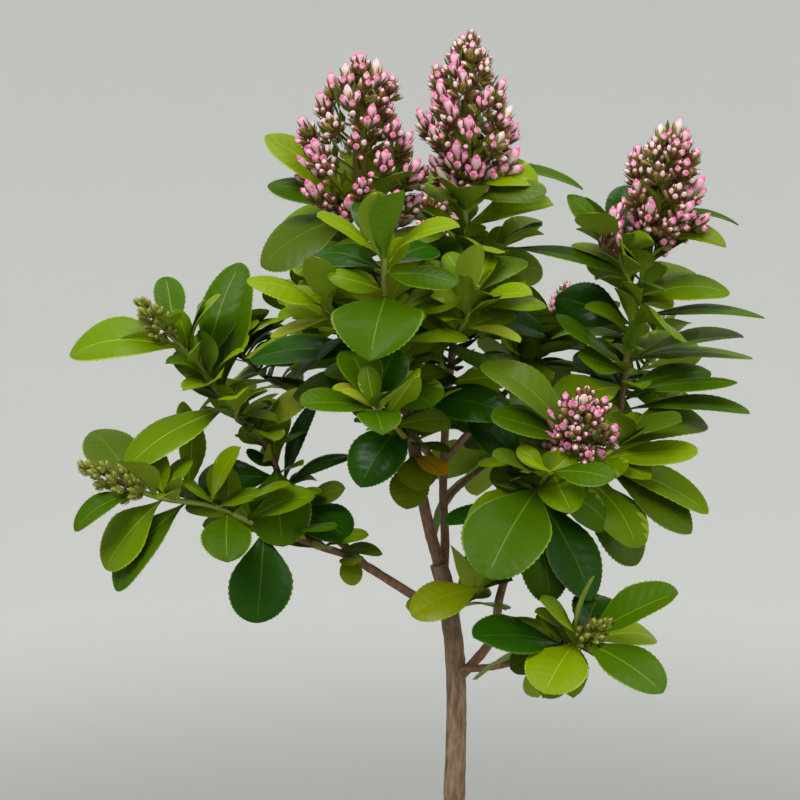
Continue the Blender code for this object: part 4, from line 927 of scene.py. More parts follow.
    def set_leaf(self, stem: Stem, aim: Leaf, share: float, tries: tuple, sway: float = 0.0) -> None:
        """Sets a leaf by rule, turned a little at a time until it finds room.

        Args:
            stem: the curve that carries it.
            aim: the leaf as the rule gives it.
            share: its share of its shoot's count.
            tries: the turns and lifts to try.
            sway: how far each try rolls it at most.
        """
        root, radius = self.spring(stem, aim.at)
        out = Vector((root.x - CROWN_AXIS[0], root.y - CROWN_AXIS[1], 0)).normalized()
        for turn, lift in tries:
            roll = self.detail.uniform(-sway, sway) if sway else 0.0
            leaf = replace(aim, compass=aim.compass + turn, rise=min(aim.rise + lift, LEAF_STEEPEST),
                           roll=roll, faces=out[:2])
            if self.fits(root, leaf, radius, RING_SIDES, self.own_blades):
                self.keep(root, leaf, radius, RING_SIDES, self.ring_tone(share))
                return

    def grow_rings(self) -> None:
        """Grows the leaves that a rule sets round each shoot."""
        for shoot, stem in self.stems:
            ring = shoot.ring
            for number in range(ring.count if ring else 0):
                share = (number + 0.5) / ring.count
                length = mix(*ring.length, share) * self.random.uniform(0.88, 1.12)
                compass = ring.first + GOLDEN_ANGLE * number + self.random.uniform(-12, 12)
                rise = mix(*ring.rise, share ** 1.4) + self.random.uniform(-8, 8)
                width = LEAF_WIDTH * self.random.uniform(0.92, 1.12)
                aim = Leaf(mix(ring.start, 1.0, share ** 0.8), compass, rise, length, width)
                self.set_leaf(stem, aim, share, self.TRIES)

    def grow_axils(self) -> None:
        """Grows the smaller leaves of the axils, which fill the shoots between the others."""
        for shoot, stem in self.stems:
            count = max(3, round(stem.length / 0.0052)) + (6 if shoot.head else 2)
            first = self.detail.uniform(0, 360)
            for number in range(count):
                share = (number + 0.5) / count
                length = self.detail.uniform(0.016, 0.036)
                rise = mix(5, 55, share) + self.detail.uniform(-15, 15)
                width = LEAF_WIDTH * self.detail.uniform(0.9, 1.1)
                aim = Leaf(mix(0.06, 1.0, share), first + GOLDEN_ANGLE * number, rise, length, width)
                self.set_leaf(stem, aim, share, self.AXIL_TRIES, 15)


def add_mesh(name: str, points: np.ndarray, faces: Iterable, slots: Iterable[int],
             finishes: Iterable[bpy.types.Material], sharp: Optional[float] = 50.0) -> bpy.types.Object:
    """Makes a mesh object from arrays.

    Args:
        name: the piece's name.
        points: its points.
        faces: its faces, by index.
        slots: each face's material, by its place in finishes.
        finishes: the materials.
        sharp: the angle in degrees past which an edge is sharp, or None for a faceted piece.

    Returns:
        The object.
    """
    mesh = bpy.data.meshes.new(name)
    mesh.from_pydata(np.asarray(points).tolist(), [], list(faces))
    for finish in finishes:
        mesh.materials.append(finish)
    mesh.polygons.foreach_set("material_index", np.asarray(list(slots), dtype=np.int32))
    if sharp is not None:
        mesh.shade_smooth()
        mesh.set_sharp_from_angle(angle=math.radians(sharp))
    mesh.update()
    made = bpy.data.objects.new(name, mesh)
    bpy.context.scene.collection.objects.link(made)
    return made


class Parts:
    """Many small shapes gathered into one mesh."""

    def __init__(self) -> None:
        """Starts empty."""
        self.points: list[np.ndarray] = []
        self.faces: list[tuple] = []
        self.slots: list[int] = []
        self.count = 0

    def add(self, points: np.ndarray, faces: Iterable[tuple], slots: Iterable[int]) -> None:
        """Adds a shape.

        Args:
            points: its points.
            faces: its faces, by index from 0.
            slots: each face's material place.
        """
        points = np.asarray(points, dtype=float)
        self.points.append(points)
        self.faces.extend(tuple(index + self.count for index in face) for face in faces)
        self.slots.extend(slots)
        self.count += len(points)

    def build(self, name: str, finishes: list[bpy.types.Material],
              sharp: Optional[float] = 50.0) -> bpy.types.Object:
        """Makes the mesh object of all that was added."""
        return add_mesh(name, np.concatenate(self.points), self.faces, self.slots, finishes, sharp)


class Recipe:
    """A material while it is put together: its shader, and the object's own coordinates."""

    def __init__(self, name: str) -> None:
        """Starts the material.

        Args:
            name: its name.
        """
        self.made = bpy.data.materials.new(name)
        self.made.use_nodes = True
        self.shader = self.made.node_tree.nodes["Principled BSDF"]
        self.place = self.made.node_tree.nodes.new("ShaderNodeTexCoord").outputs["Object"]

    def add(self, kind: str, **values: object) -> bpy.types.Node:
        """Adds a node.

        Args:
            kind: its kind, without the words that every kind starts with.
            **values: what its sockets are set to, with underscores for the spaces in their names.

        Returns:
            The node.
        """
        node = self.made.node_tree.nodes.new(f"ShaderNode{kind}")
        for name, value in values.items():
            node.inputs[name.replace("_", " ")].default_value = value
        return node

    def link(self, source: bpy.types.NodeSocket, target: bpy.types.NodeSocket) -> None:
        """Joins an output to an input."""
        self.made.node_tree.links.new(source, target)

    def ramp(self, source: bpy.types.NodeSocket, places: tuple[float, float],
             colours: tuple[tuple[int, int, int], tuple[int, int, int]]) -> None:
        """Lets an output choose the base colour between two.

        Args:
            source: the output.
            places: its values for the two colours.
            colours: the colours.
        """
        ramp = self.add("ValToRGB")
        for stop, place, colour in zip(ramp.color_ramp.elements, places, colours):
            stop.position = place
            stop.color = (*linear(*colour), 1.0)
        self.link(source, ramp.inputs["Fac"])
        self.link(ramp.outputs["Color"], self.shader.inputs["Base Color"])

    def roughen(self, grain: bpy.types.Node, least: float, most: float) -> None:
        """Lets a noise vary the roughness.

        Args:
            grain: the noise.
            least: the roughness at its lowest.
            most: the roughness at its highest.
        """
        spread = self.add("MapRange", To_Min=least, To_Max=most)
        self.link(grain.outputs["Fac"], spread.inputs["Value"])
        self.link(spread.outputs["Result"], self.shader.inputs["Roughness"])

    def emboss(self, grain: bpy.types.Node, depth: float, distance: float) -> None:
        """Lets a noise raise and lower the surface.

        Args:
            grain: the noise.
            depth: how strongly.
            distance: how far, in metres.
        """
        relief = self.add("Bump", Strength=depth, Distance=distance)
        self.link(grain.outputs["Fac"], relief.inputs["Height"])
        self.link(relief.outputs["Normal"], self.shader.inputs["Normal"])


@dataclass(frozen=True)
class Gloss:
    """A plain-coloured living finish: its colour, its sheen, and the fine relief that breaks the light."""

    name: str
    colour: tuple[int, int, int]
    roughness: float = 0.40
    grain: float = 300.0
    depth: float = 0.42
    specular: float = 0.5

    def make(self) -> bpy.types.Material:
        """Makes the material.

        Returns:
            The material.
        """
        recipe = Recipe(self.name)
        recipe.shader.inputs["Base Color"].default_value = (*linear(*self.colour), 1.0)
        recipe.shader.inputs["Specular IOR Level"].default_value = self.specular
        fine = recipe.add("TexNoise", Scale=self.grain, Detail=2.0)
        recipe.link(recipe.place, fine.inputs["Vector"])
        recipe.roughen(fine, self.roughness - 0.07, self.roughness + 0.09)
        recipe.emboss(fine, self.depth, 0.0005)
        return recipe.made


@dataclass(frozen=True)
class Mottled:
    """A finish of two colours that a noise mixes, with relief of the same grain."""

    name: str
    dark: tuple[int, int, int]
    light: tuple[int, int, int]
    roughness: float
    scale: tuple[float, float, float] = (60.0, 60.0, 60.0)
    depth: float = 0.5
    distance: float = 0.001
    detail: float = 6.0

    def make(self) -> bpy.types.Material:
        """Makes the material.

        Returns:
            The material.
        """
        recipe = Recipe(self.name)
        stretch = recipe.add("Mapping", Scale=self.scale)
        grain = recipe.add("TexNoise", Scale=1.0, Detail=self.detail, Roughness=0.65)
        recipe.link(recipe.place, stretch.inputs["Vector"])
        recipe.link(stretch.outputs["Vector"], grain.inputs["Vector"])
        recipe.ramp(grain.outputs["Fac"], (0.35, 0.68), (self.dark, self.light))
        recipe.roughen(grain, self.roughness - 0.08, min(1.0, self.roughness + 0.1))
        recipe.emboss(grain, self.depth, self.distance)
        return recipe.made


@dataclass(frozen=True)
class PaintedShadeFloor:
    """A matt finish with painted shade: it goes from a darker colour near the middle of the floor to a
    lighter one farther out.
    """

    name: str
    near: tuple[int, int, int]
    far: tuple[int, int, int]
    near_radius: float
    far_radius: float
    roughness: float = 0.9

    def make(self) -> bpy.types.Material:
        """Makes the material.

        Returns:
            The material.
        """
        recipe = Recipe(self.name)
        recipe.shader.inputs["Specular IOR Level"].default_value = 0.1
        radius = recipe.add("VectorMath")
        radius.operation = "LENGTH"
        reach = recipe.add("MapRange", From_Min=self.near_radius, From_Max=self.far_radius)
        reach.interpolation_type = "SMOOTHSTEP"
        fine = recipe.add("TexNoise", Scale=40.0)
        recipe.link(recipe.place, radius.inputs[0])
        recipe.link(radius.outputs["Value"], reach.inputs["Value"])
        recipe.ramp(reach.outputs["Result"], (0.0, 1.0), (self.near, self.far))
        recipe.link(recipe.place, fine.inputs["Vector"])
        recipe.roughen(fine, self.roughness - 0.05, self.roughness + 0.05)
        return recipe.made


LEAF_FINISHES: dict[Tone, Gloss] = {
    # Partly painted shade: the darkest green also stands for leaves that lie in shade.
    Tone.DARK: Gloss("leaf dark green", (28, 65, 1), 0.30, specular=0.11),
    Tone.MID: Gloss("leaf mid green", (56, 84, 1), 0.33, specular=0.05),
    Tone.FRESH: Gloss("leaf fresh green", (86, 112, 1), 0.34, specular=0.07),
    Tone.BRIGHT: Gloss("leaf bright green", (101, 123, 1), 0.35, specular=0.07),
    Tone.PALE: Gloss("leaf pale green", (133, 144, 30), 0.37, specular=0.10),
    # Partly painted sheen: this greyer green also stands for the whitish sheen on some leaves.
    Tone.GREY: Gloss("leaf dull green", (70, 90, 10), 0.36, specular=0.10),
    Tone.OLIVE: Gloss("leaf olive green", (92, 108, 4), 0.40, specular=0.10),
    Tone.YELLOWED: Gloss("leaf yellow green", (118, 130, 1), 0.38, specular=0.14),
    Tone.AGED: Gloss("leaf aged orange", (206, 150, 14), 0.44, specular=0.16),
}
UNDERSIDES = (Gloss("leaf underside dull", (92, 122, 24), 0.55, specular=0.10),
              Gloss("leaf underside pale", (122, 144, 34), 0.52, specular=0.10))
# The rib finishes also colour the fine blades' margins, where their lighter green is partly the leaf's own
# paler edge and partly a painted highlight.
RIBS = (Gloss("leaf rib dark", (62, 88, 14), 0.42, specular=0.16),
        Gloss("leaf rib dull", (84, 110, 14), 0.42, specular=0.16),
        Gloss("leaf rib pale", (124, 142, 26), 0.44, specular=0.16))
LIGHT_TONES = (Tone.FRESH, Tone.BRIGHT, Tone.PALE, Tone.YELLOWED, Tone.AGED)


@dataclass(frozen=True)
class BladeGrid:
    """How finely a blade is drawn: its rows, and its columns as shares of the half-width."""

    rows: int
    upper: tuple[float, ...]
    lower: tuple[float, ...]


@dataclass(frozen=True)
class BladeForm:
    """The bends of one blade, as drawn for it."""

    blunt: float
    fold: float
    curl: float
    recurve: float
    bend: float
    twist: float
    wave: float
    phase: float
    roll: float


@dataclass
class LeafMaker:
    """Builds the blades: a toothed outline widest past the middle, a rib, and side veins in relief."""

    fine: BladeGrid = BladeGrid(36, (-1.0, -0.95, -0.70, -0.38, -0.04, 0.04, 0.38, 0.70, 0.95, 1.0),
                                (-1.0, -0.70, -0.38, 0.0, 0.38, 0.70, 1.0))
    plain: BladeGrid = BladeGrid(9, (-1.0, -0.5, -0.05, 0.05, 0.5, 1.0), (-1.0, -0.5, 0.0, 0.5, 1.0))
    least_fine: float = 0.026
    widest: float = 0.60
    named_width: float = 1.08
    level_width: float = 0.35
    rule_width: float = 1.16
    roll: float = 34.0
    stalk_half: float = 0.00055
    tooth: float = 0.00030
    vein_depth: float = 0.00023
    rib_half: float = 0.00029
    rib_end: float = 0.86
    slant: float = 0.17
    thickness: float = 0.00045
    rows_for_vein: int = 4

    def half_width(self, share: np.ndarray, blunt: float) -> np.ndarray:
        """Gives the outline: a wedge that rises to the widest place, and a rounded tip.

        Args:
            share: shares of the length.
            blunt: how round the tip is, from 0.5 for a round one.

        Returns:
            The half-widths as shares of the widest.
        """
        rising = (0.5 - 0.5 * np.cos(np.pi * np.clip(share / self.widest, 0, 1))) ** 0.80
        beyond = np.clip((share - self.widest) / (1 - self.widest), 0, 1)
        falling = np.maximum(1 - beyond ** 2.2, 0.0) ** blunt
        return np.where(share < self.widest, rising, falling)

    def draw_form(self, named: bool, draw: random.Random) -> BladeForm:
        """Draws a blade's own bends.

        Args:
            named: whether it is placed by name. Any other is also rolled about its length.
            draw: where the bends come from.

        Returns:
            The bends.
        """
        roll = 0.0 if named else math.radians(draw.uniform(-self.roll, self.roll))
        turned = 0.14 if named else 0.32
        return BladeForm(blunt=draw.uniform(0.44, 0.68), fold=draw.uniform(0.04, 0.40),
                         curl=draw.uniform(0.04, 0.28), recurve=draw.uniform(-0.05, 0.50),
                         bend=draw.uniform(-0.07, 0.07), twist=draw.uniform(-turned, turned),
                         wave=draw.uniform(0.0, 0.08), phase=draw.uniform(0.0, 6.28), roll=roll)

    def axes(self, grown: Grown, roll: float) -> tuple[np.ndarray, np.ndarray, np.ndarray]:
        """Gives a blade's directions along, across and up. A narrow leaf placed by name lies flatter.

        Args:
            grown: the leaf in its place.
            roll: how far it is rolled about its length.

        Returns:
            The three unit directions.
        """
        leaf = grown.leaf
        if grown.named and leaf.width < self.level_width:
            leaf = replace(leaf, faces=(leaf.faces[0] * 0.35, leaf.faces[1] * 0.35))
        along, across, up = (np.array(axis) for axis in leaf_axes(leaf))
        return (along, across * math.cos(roll) + up * math.sin(roll),
                up * math.cos(roll) - across * math.sin(roll))

    def surface(self, grown: Grown, form: BladeForm, rows: int, columns: tuple[float, ...]) -> np.ndarray:
        """Gives the upper surface's points in columns.

        Args:
            grown: the leaf in its place.
            form: its bends.
            rows: how many rows it has.
            columns: its columns as shares of the half-width.

        Returns:
            An array of rows, columns and the three coordinates.
        """
        leaf = grown.leaf
        along, across, up = self.axes(grown, form.roll)
        step = np.linspace(0.0, 1.0, rows + 1)
        closing = 0.6 * step + 0.4 * np.sin(step * np.pi / 2)
        share, side = np.meshgrid(closing, np.array(columns), indexing="ij")
        size = np.abs(side)
        share = share + self.slant * size * 4 * share * (1 - share)
        half = leaf.length * leaf.width / 2 * (self.named_width if grown.named else self.rule_width)
        width = np.maximum(self.half_width(share, form.blunt) * half, self.stalk_half * (1.3 - share))
        row = np.arange(rows + 1)[:, None]
        toothed = (size > 0.99) & (share > 0.28) & (share < 0.97) & (rows > 20)
        out = np.where(row % 2 == 0, 1.0, -0.6) * toothed
        rib = np.minimum(width * 0.6, self.rib_half * (1.35 - share) * (1 + 10 * leaf.length))
        hand = np.sign(side)
        x = np.where((size < 0.2) & (size > 0), hand * rib, side * width + hand * out * self.tooth)
        share = share + out * 0.12 / rows
        lengthwise = 4 * LEAF_ARCH * share * (1 - share) - form.recurve * np.clip(share - 0.45, 0, 1) ** 2
        between = np.clip(size * (1 - size) * 4, 0, 1) * (width / half)
        vein = np.where(row % self.rows_for_vein == 0, -1.0, 0.33) * (rows > 20)
        z = (leaf.length * lengthwise + form.fold * size * width - form.curl * size ** 3 * width
             + self.vein_depth * vein * between - 0.00018 * (size < 0.2)
             + form.wave * width * size * np.sin(share * 8 + form.phase + side))
        z = z + x * np.tan(form.twist * share)
        x = x + form.bend * leaf.length * share ** 2
        sink = grown.radius * 0.4 * (1 - share) ** 6
        return (np.array(grown.root) + (share * leaf.length - sink)[..., None] * along
                + x[..., None] * across + z[..., None] * up)

    def add(self, parts: Parts, grown: Grown, slots: tuple[int, int, int], draw: random.Random) -> None:
        """Adds one closed blade.

        Args:
            parts: what it is gathered into.
            grown: the leaf in its place.
            slots: the material places of its upper side, its underside and its rib.
            draw: where its bends come from.
        """
        tone, under, rib = slots
        named = grown.named and grown.leaf.length >= self.least_fine
        grid = self.fine if named else self.plain
        form = self.draw_form(grown.named, draw)
        up = self.axes(grown, form.roll)[2]
        top = self.surface(grown, form, grid.rows, grid.upper)
        bottom = self.surface(grown, form, grid.rows, grid.lower)[:, 1:-1]
        bottom = bottom - up * self.thickness
        wide, low_wide = len(grid.upper), len(grid.lower) - 2
        number = np.arange((grid.rows + 1) * wide).reshape(grid.rows + 1, wide)
        inner = np.arange((grid.rows + 1) * low_wide).reshape(grid.rows + 1, low_wide) + number.size
        low = np.concatenate([number[:, :1], inner, number[:, -1:]], axis=1)
        faces, places = [], []
        middle = wide // 2 - 1
        for row in range(grid.rows):
            for column in range(wide - 1):
                faces.append((number[row, column], number[row, column + 1],
                              number[row + 1, column + 1], number[row + 1, column]))
                on_rib = column == middle and row < grid.rows * self.rib_end
                # Partly painted highlight: the margin takes the lighter rib finish.
                on_margin = grid is self.fine and column in (0, wide - 2)
                places.append(rib if on_rib or on_margin else tone)
            for column in range(low_wide + 1):
                faces.append((low[row + 1, column], low[row + 1, column + 1],
                              low[row, column + 1], low[row, column]))
                places.append(under)
        faces.append((*number[0][::-1], *inner[0]))
        faces.append((*number[-1], *inner[-1][::-1]))
        places += [under, tone]
        parts.add(np.concatenate([top.reshape(-1, 3), bottom.reshape(-1, 3)]), faces, places)


@dataclass
class Foliage:
    """All the leaves of the crown, joined into a few pieces."""

    growers: list[Grower]
    maker: LeafMaker = field(default_factory=LeafMaker)

    def build(self) -> list[bpy.types.Object]:
        """Builds the leaf pieces.

        Returns:
            The pieces.
        """
        tones = list(Tone)
        finishes = [LEAF_FINISHES[tone].make() for tone in tones]
        finishes += [finish.make() for finish in (*UNDERSIDES, *RIBS)]
        made = []
        for name, masses in LEAF_PIECES.items():
            parts, leaves = Parts(), 0
            draw = random.Random(f"{SEED} {name}")
            for grower in self.growers:
                if grower.mass.name not in masses:
                    continue
                for grown in grower.leaves:
                    light = int(grown.tone in LIGHT_TONES)
                    rib = 0 if grown.tone is Tone.DARK else 1 + light
                    slots = (tones.index(grown.tone), len(tones) + light, len(tones) + len(UNDERSIDES) + rib)
                    self.maker.add(parts, grown, slots, draw)
                    leaves += 1
            piece = parts.build(name, finishes, sharp=80.0)
            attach(piece, "root")
            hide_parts(*masses)
            LOG.info("%s: %d leaves, %d faces", name, leaves, len(parts.faces))
            made.append(piece)
        return made


def fine_tube(stem: Stem, sides: int, relief: float = 0.0, step: int = 1) -> tuple[np.ndarray, list]:
    """Gives a smooth tube along a stem, with lengthwise furrows and knots in relief.

    Args:
        stem: the stem.
        sides: the tube's sides.
        relief: how deep the relief is.
        step: how many rings are drawn between two of the stem's points.

    Returns:
        The points and faces.
    """
    line = []
    for index in range(len(stem.points) - 1):
        for part in range(step):
            here, there = stem.points[index], stem.points[index + 1]
            reached = mix(stem.reached[index], stem.reached[index + 1], part / step)
            line.append((here.lerp(there, part / step), reached / stem.length))
    line.append((stem.points[-1], 1.0))
    across = (line[1][0] - line[0][0]).normalized().orthogonal().normalized()
    points = []
    for index, (centre, share) in enumerate(line):
        before, after = line[max(index - 1, 0)][0], line[min(index + 1, len(line) - 1)][0]
        along = (after - before).normalized()
        across = (across - along * across.dot(along)).normalized()
        radius = mix(*stem.radius, share)
        for side in range(sides):
            angle = 2 * math.pi * side / sides
            spoke = Quaternion(along, angle) @ across
            foot = stem.foot(centre, angle) if stem.flare else 0.0
            rough = 0.0
            if relief:
                at = centre + spoke * radius
                rough = relief * (noise.noise(Vector((at.x * 500, at.y * 500, at.z * 90)))
                                  + 0.5 * noise.noise(Vector((at.x * 1300, at.y * 1300, at.z * 320))))
                knot = math.exp(-((share * stem.length * 1000 / 34) % 1.0 - 0.5) ** 2 / 0.004)
                rough += relief * 0.9 * knot
            points.append(centre + spoke * (radius + foot + rough))
    return np.array(points), rings_to_faces(len(line), sides)


@dataclass
class Twigs:
    """The green and brown shoots that carry the leaves."""

    growers: list[Grower]
    sides: int = 8

    def build(self) -> bpy.types.Object:
        """Builds the joined twigs.

        Returns:
            The piece.
        """
        finishes = [Gloss("shoot brown", (104, 76, 48), 0.62, depth=0.3).make(),
                    Gloss("shoot green", (124, 134, 46), 0.48).make()]
        parts = Parts()
        for grower in self.growers:
            for index, (_, stem) in enumerate(grower.stems):
                points, faces = fine_tube(stem, self.sides, 0.00012)
                rings = len(points) // self.sides
                brown = 0.42 * rings if index == 0 else 0.1 * rings
                slots = [0 if face // self.sides < brown else 1 for face in range(len(faces))]
                slots[-2], slots[-1] = 0, 1
                parts.add(points, faces, slots)
        piece = parts.build("twigs", finishes)
        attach(piece, "root")
        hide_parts(*(grower.mass.name for grower in self.growers))
        LOG.info("twigs: %d faces", len(parts.faces))
        return piece


@dataclass(frozen=True)
class Bud:
    """One bud as drawn: its tip, where it points, its size, and how far it has swollen."""

    tip: Vector
    axis: Vector
    length: float
    width: float
    age: float


@dataclass(frozen=True)
class Spray:
    """One group of buds: its middle tip, where it points, where its stalk springs, the least and greatest
    age of its buds, and how many stand round the middle one and below them."""

    tip: Vector
    lean: Vector
    heart: Vector
    ages: tuple[float, float]
    around: int
    below: int


class Petal(IntEnum):
    """The places of a flower head's finishes."""

    STALK = 0
    CUP_BROWN = 1
    CUP_GREEN = 2
    CREAM = 3
    PALE = 4
    PINK = 5
    YOUNG = 6
    GREEN = 7
    HEART = 8
    BRACT = 9
    SEPAL = 10


BLOSSOM_FINISHES: dict[Petal, Gloss] = {
    Petal.STALK: Gloss("flower stalk", (92, 92, 26), 0.55, specular=0.2),
    Petal.CUP_BROWN: Gloss("flower cup brown", (108, 72, 46), 0.46, specular=0.25),
    Petal.CUP_GREEN: Gloss("flower cup green", (122, 122, 44), 0.48, specular=0.25),
    Petal.CREAM: Gloss("bud cream", (218, 198, 182), 0.38, specular=0.3),
    Petal.PALE: Gloss("bud pale pink", (230, 168, 188), 0.38, specular=0.3),
    Petal.PINK: Gloss("bud pink", (214, 98, 144), 0.38, specular=0.3),
    Petal.YOUNG: Gloss("bud young", (140, 108, 66), 0.42, specular=0.3),
    Petal.GREEN: Gloss("bud green", (126, 132, 48), 0.46, specular=0.25),
    Petal.HEART: Gloss("flower heart", (86, 84, 30), 0.65, specular=0.1),
    Petal.BRACT: Gloss("bract green", (84, 106, 22), 0.45, specular=0.25),
    Petal.SEPAL: Gloss("sepal maroon", (98, 58, 42), 0.45, specular=0.25),
}


@dataclass
class Blossom:
    """The flower heads: groups of buds in their cups, on stalks that leave the head's own stem.

    A pair of sizes is a young bud's and a full one's. A head is large from large_head in length on, and
    small below small_head in width.
    """

    growers: list[Grower]
    large_head: float = 0.035
    small_head: float = 0.020
    sprays_for_each: float = 1.62
    sprays_for_low: float = 0.62
    sprays_for_small: tuple[float, float] = (1.5, 1.7)
    around: int = 5
    below: int = 2
    bud_sides: int = 6
    cup_sides: int = 5
    spread: float = 27.0
    low_spread: float = 2.1
    heart_share: float = 0.11
    depths: tuple[float, ...] = (1.0, 0.84, 0.96, 0.90, 0.60)
    inner_depth: float = 0.65
    middle_length: tuple[float, float] = (0.0082, 0.0165)
    middle_width: tuple[float, float] = (0.0034, 0.0052)
    side_length: tuple[float, float] = (0.0068, 0.0142)
    side_width: tuple[float, float] = (0.0029, 0.0049)
    green_length: tuple[float, float] = (0.0048, 0.0066)
    least_stalk: float = 0.0006

    def add_turned(self, parts: Parts, foot: Vector, axis: Vector, rings: tuple, slots: tuple,
                   sides: int) -> None:
        """Adds a small turned shape.

        Args:
            parts: what it is gathered into.
            foot: where it starts.
            axis: its direction.
            rings: pairs of height and radius.
            slots: the finish of each band between two rings.
            sides: its sides.
        """
        points, faces = turned_on(foot, axis, rings, sides)
        bands = [slot for slot in slots for _ in range(sides)]
        parts.add(np.array(points), faces, [*bands, slots[0], slots[-1]])

    def add_sepals(self, parts: Parts, foot: Vector, axis: Vector, start: float, end: float,
                   radius: float, slot: Petal) -> None:
        """Adds the cup's narrow teeth, which stand up round the bud.

        Args:
            parts: what they are gathered into.
            foot: where the cup starts.
            axis: its direction.
            start: the height where they leave the cup.
            end: the height of their tips.
            radius: the bud's radius.
            slot: their finish.
        """
        across = axis.orthogonal().normalized()
        base = foot + axis * start
        for number in range(self.cup_sides):
            turn = 2 * math.pi * (number + 0.5) / self.cup_sides
            left, middle, right = (Quaternion(axis, turn + part) @ across for part in (-0.50, 0.0, 0.50))
            points = [base + left * radius * 1.06, base + right * radius * 1.06,
                      base + middle * radius * 1.36, foot + axis * end + middle * radius * 1.40]
            parts.add(np.array(points), ((0, 1, 2), (0, 2, 3), (2, 1, 3), (1, 0, 3)), (slot,) * 4)

    def add_bract(self, parts: Parts, root: Vector, axis: Vector, length: float) -> None:
        """Adds one of the narrow leaves that stand between the groups of buds.

        Args:
            parts: what it is gathered into.
            root: where it springs.
            axis: its direction.
            length: its length.
        """
        side = axis.cross(Vector((0, 0, 1))).normalized() * (length * 0.13)
        up = side.cross(axis).normalized() * (length * 0.05)
        points = [root, root + axis * length * 0.55 - side + up, root + axis * length * 0.55 + side + up,
                  root + axis * length - up * 2, root + axis * length * 0.5 - up]
        faces = ((0, 2, 4), (0, 4, 1), (2, 3, 4), (4, 3, 1), (0, 1, 2), (1, 3, 2))
        parts.add(np.array(points), faces, (Petal.BRACT,) * len(faces))

    def bands(self, age: float, shade: float) -> tuple[Petal, Petal, Petal, Petal]:
        """Chooses the colours of a pink head's bud.

        Args:
            age: how far it has swollen, from 0 to 1.
            shade: from 0 to 1, which of the colours of its age it takes.

        Returns:
            The finishes of its four bands, from the cup to the tip.
        """
        if age < 0.16 and shade > 0.80:
            return Petal.GREEN, Petal.YOUNG, Petal.YOUNG, Petal.YOUNG
        if age < 0.16 and shade < 0.35:
            return Petal.GREEN, Petal.YOUNG, Petal.YOUNG, Petal.PALE
        if age < 0.16:
            return Petal.GREEN, Petal.GREEN, Petal.CREAM, Petal.PALE
        if age < 0.30:
            return Petal.GREEN, Petal.YOUNG, Petal.PALE, Petal.PINK
        if shade < 0.50:
            return Petal.CREAM, Petal.CREAM, Petal.PALE, Petal.PINK
        if shade < 0.93:
            return Petal.CREAM, Petal.PALE, Petal.PALE, Petal.PINK
        return Petal.CREAM, Petal.CREAM, Petal.CREAM, Petal.PALE

    def add_bud(self, parts: Parts, bud: Bud, bloom: Bloom, stalk_from: Vector, shade: float) -> None:
        """Adds a bud with its cup and its stalk.

        Args:
            parts: what it is gathered into.
            bud: the bud.
            bloom: the kind of head.
            stalk_from: where its stalk springs.
            shade: from 0 to 1, which of its kind's colours it takes.
        """
        foot = bud.tip - bud.axis * bud.length
        radius = bud.width / 2
        pink = bloom is Bloom.PINK
        bands = self.bands(bud.age, shade) if pink else (Petal.GREEN,) * 4
        cup = Petal.CUP_BROWN if pink and shade < 0.50 else Petal.CUP_GREEN
        sepal = Petal.SEPAL if pink and shade < 0.74 else Petal.CUP_GREEN
        cup_end = mix(0.36, 0.22, bud.age) * bud.length
        sepal_end = mix(1.02, 0.66, bud.age) * bud.length
        self.add_turned(parts, foot, bud.axis, ((0.0, radius * 0.32), (cup_end * 0.55, radius * 0.76),
                                                (cup_end, radius * 0.98)), (cup, cup), self.cup_sides)
        self.add_sepals(parts, foot, bud.axis, cup_end * 0.9, sepal_end, radius * 0.96, sepal)
        rings = ((cup_end * 0.8, radius * 0.62), (bud.length * 0.46, radius * 0.92),
                 (bud.length * 0.68, radius), (bud.length * 0.88, radius * 0.66),
                 (bud.length, radius * 0.12))
        self.add_turned(parts, foot, bud.axis, rings, bands, self.bud_sides)
        stalk = foot - stalk_from
        if stalk.length > self.least_stalk:
            rings = ((0.0, 0.00045), (stalk.length + cup_end * 0.2, 0.0005))
            self.add_turned(parts, stalk_from, stalk.normalized(), rings, (Petal.STALK,), 3)

    def add_spray(self, parts: Parts, spray: Spray, bloom: Bloom, draw: random.Random) -> None:
        """Adds a group of buds: one at the end of its stalk, and others round it a little lower.

        Args:
            parts: what it is gathered into.
            spray: the group.
            bloom: the kind of head.
            draw: where its differences come from.
        """
        pink = bloom is Bloom.PINK
        tip, lean, around = spray.tip, spray.lean, spray.around
        across = lean.orthogonal().normalized()
        first = draw.uniform(0, 360)
        age = min(1.0, max(0.0, draw.uniform(*spray.ages)))
        length = mix(*self.middle_length, age ** 1.5) if pink else draw.uniform(*self.green_length)
        width = mix(*self.middle_width, age) if pink else length * 0.48
        fork = tip - lean * (length * 1.12)
        self.add_bud(parts, Bud(tip, lean, length, width, age), bloom, fork, draw.random())
        for number in range(around + spray.below):
            low = number >= around
            turn = 360 * (number - around + 0.5) / spray.below if low else 360 * number / around
            spoke = Quaternion(lean, math.radians(first + turn)) @ across
            spread = self.spread * (self.low_spread if low else 1.0)
            angle = math.radians(spread + draw.uniform(-6, 9))
            axis = (lean * math.cos(angle) + spoke * math.sin(angle)).normalized()
            own = age * (draw.uniform(0.0, 0.45) if low else draw.uniform(0.10, 0.85))
            own_length = mix(*self.side_length, own ** 1.5) if pink else length * draw.uniform(0.7, 1.0)
            own_width = mix(*self.side_width, own) if pink else own_length * 0.46
            end = fork + axis * (own_length + length * draw.uniform(0.02, 0.24))
            end -= lean * (0.0035 if low else 0.001)
            self.add_bud(parts, Bud(end, axis, own_length, own_width, own), bloom, fork, draw.random())
        stalk = fork - spray.heart
        if stalk.length > self.least_stalk:
            rings = ((0.0, 0.0008), (stalk.length * 1.04, 0.0006))
            self.add_turned(parts, spray.heart, stalk.normalized(), rings, (Petal.STALK,), 4)

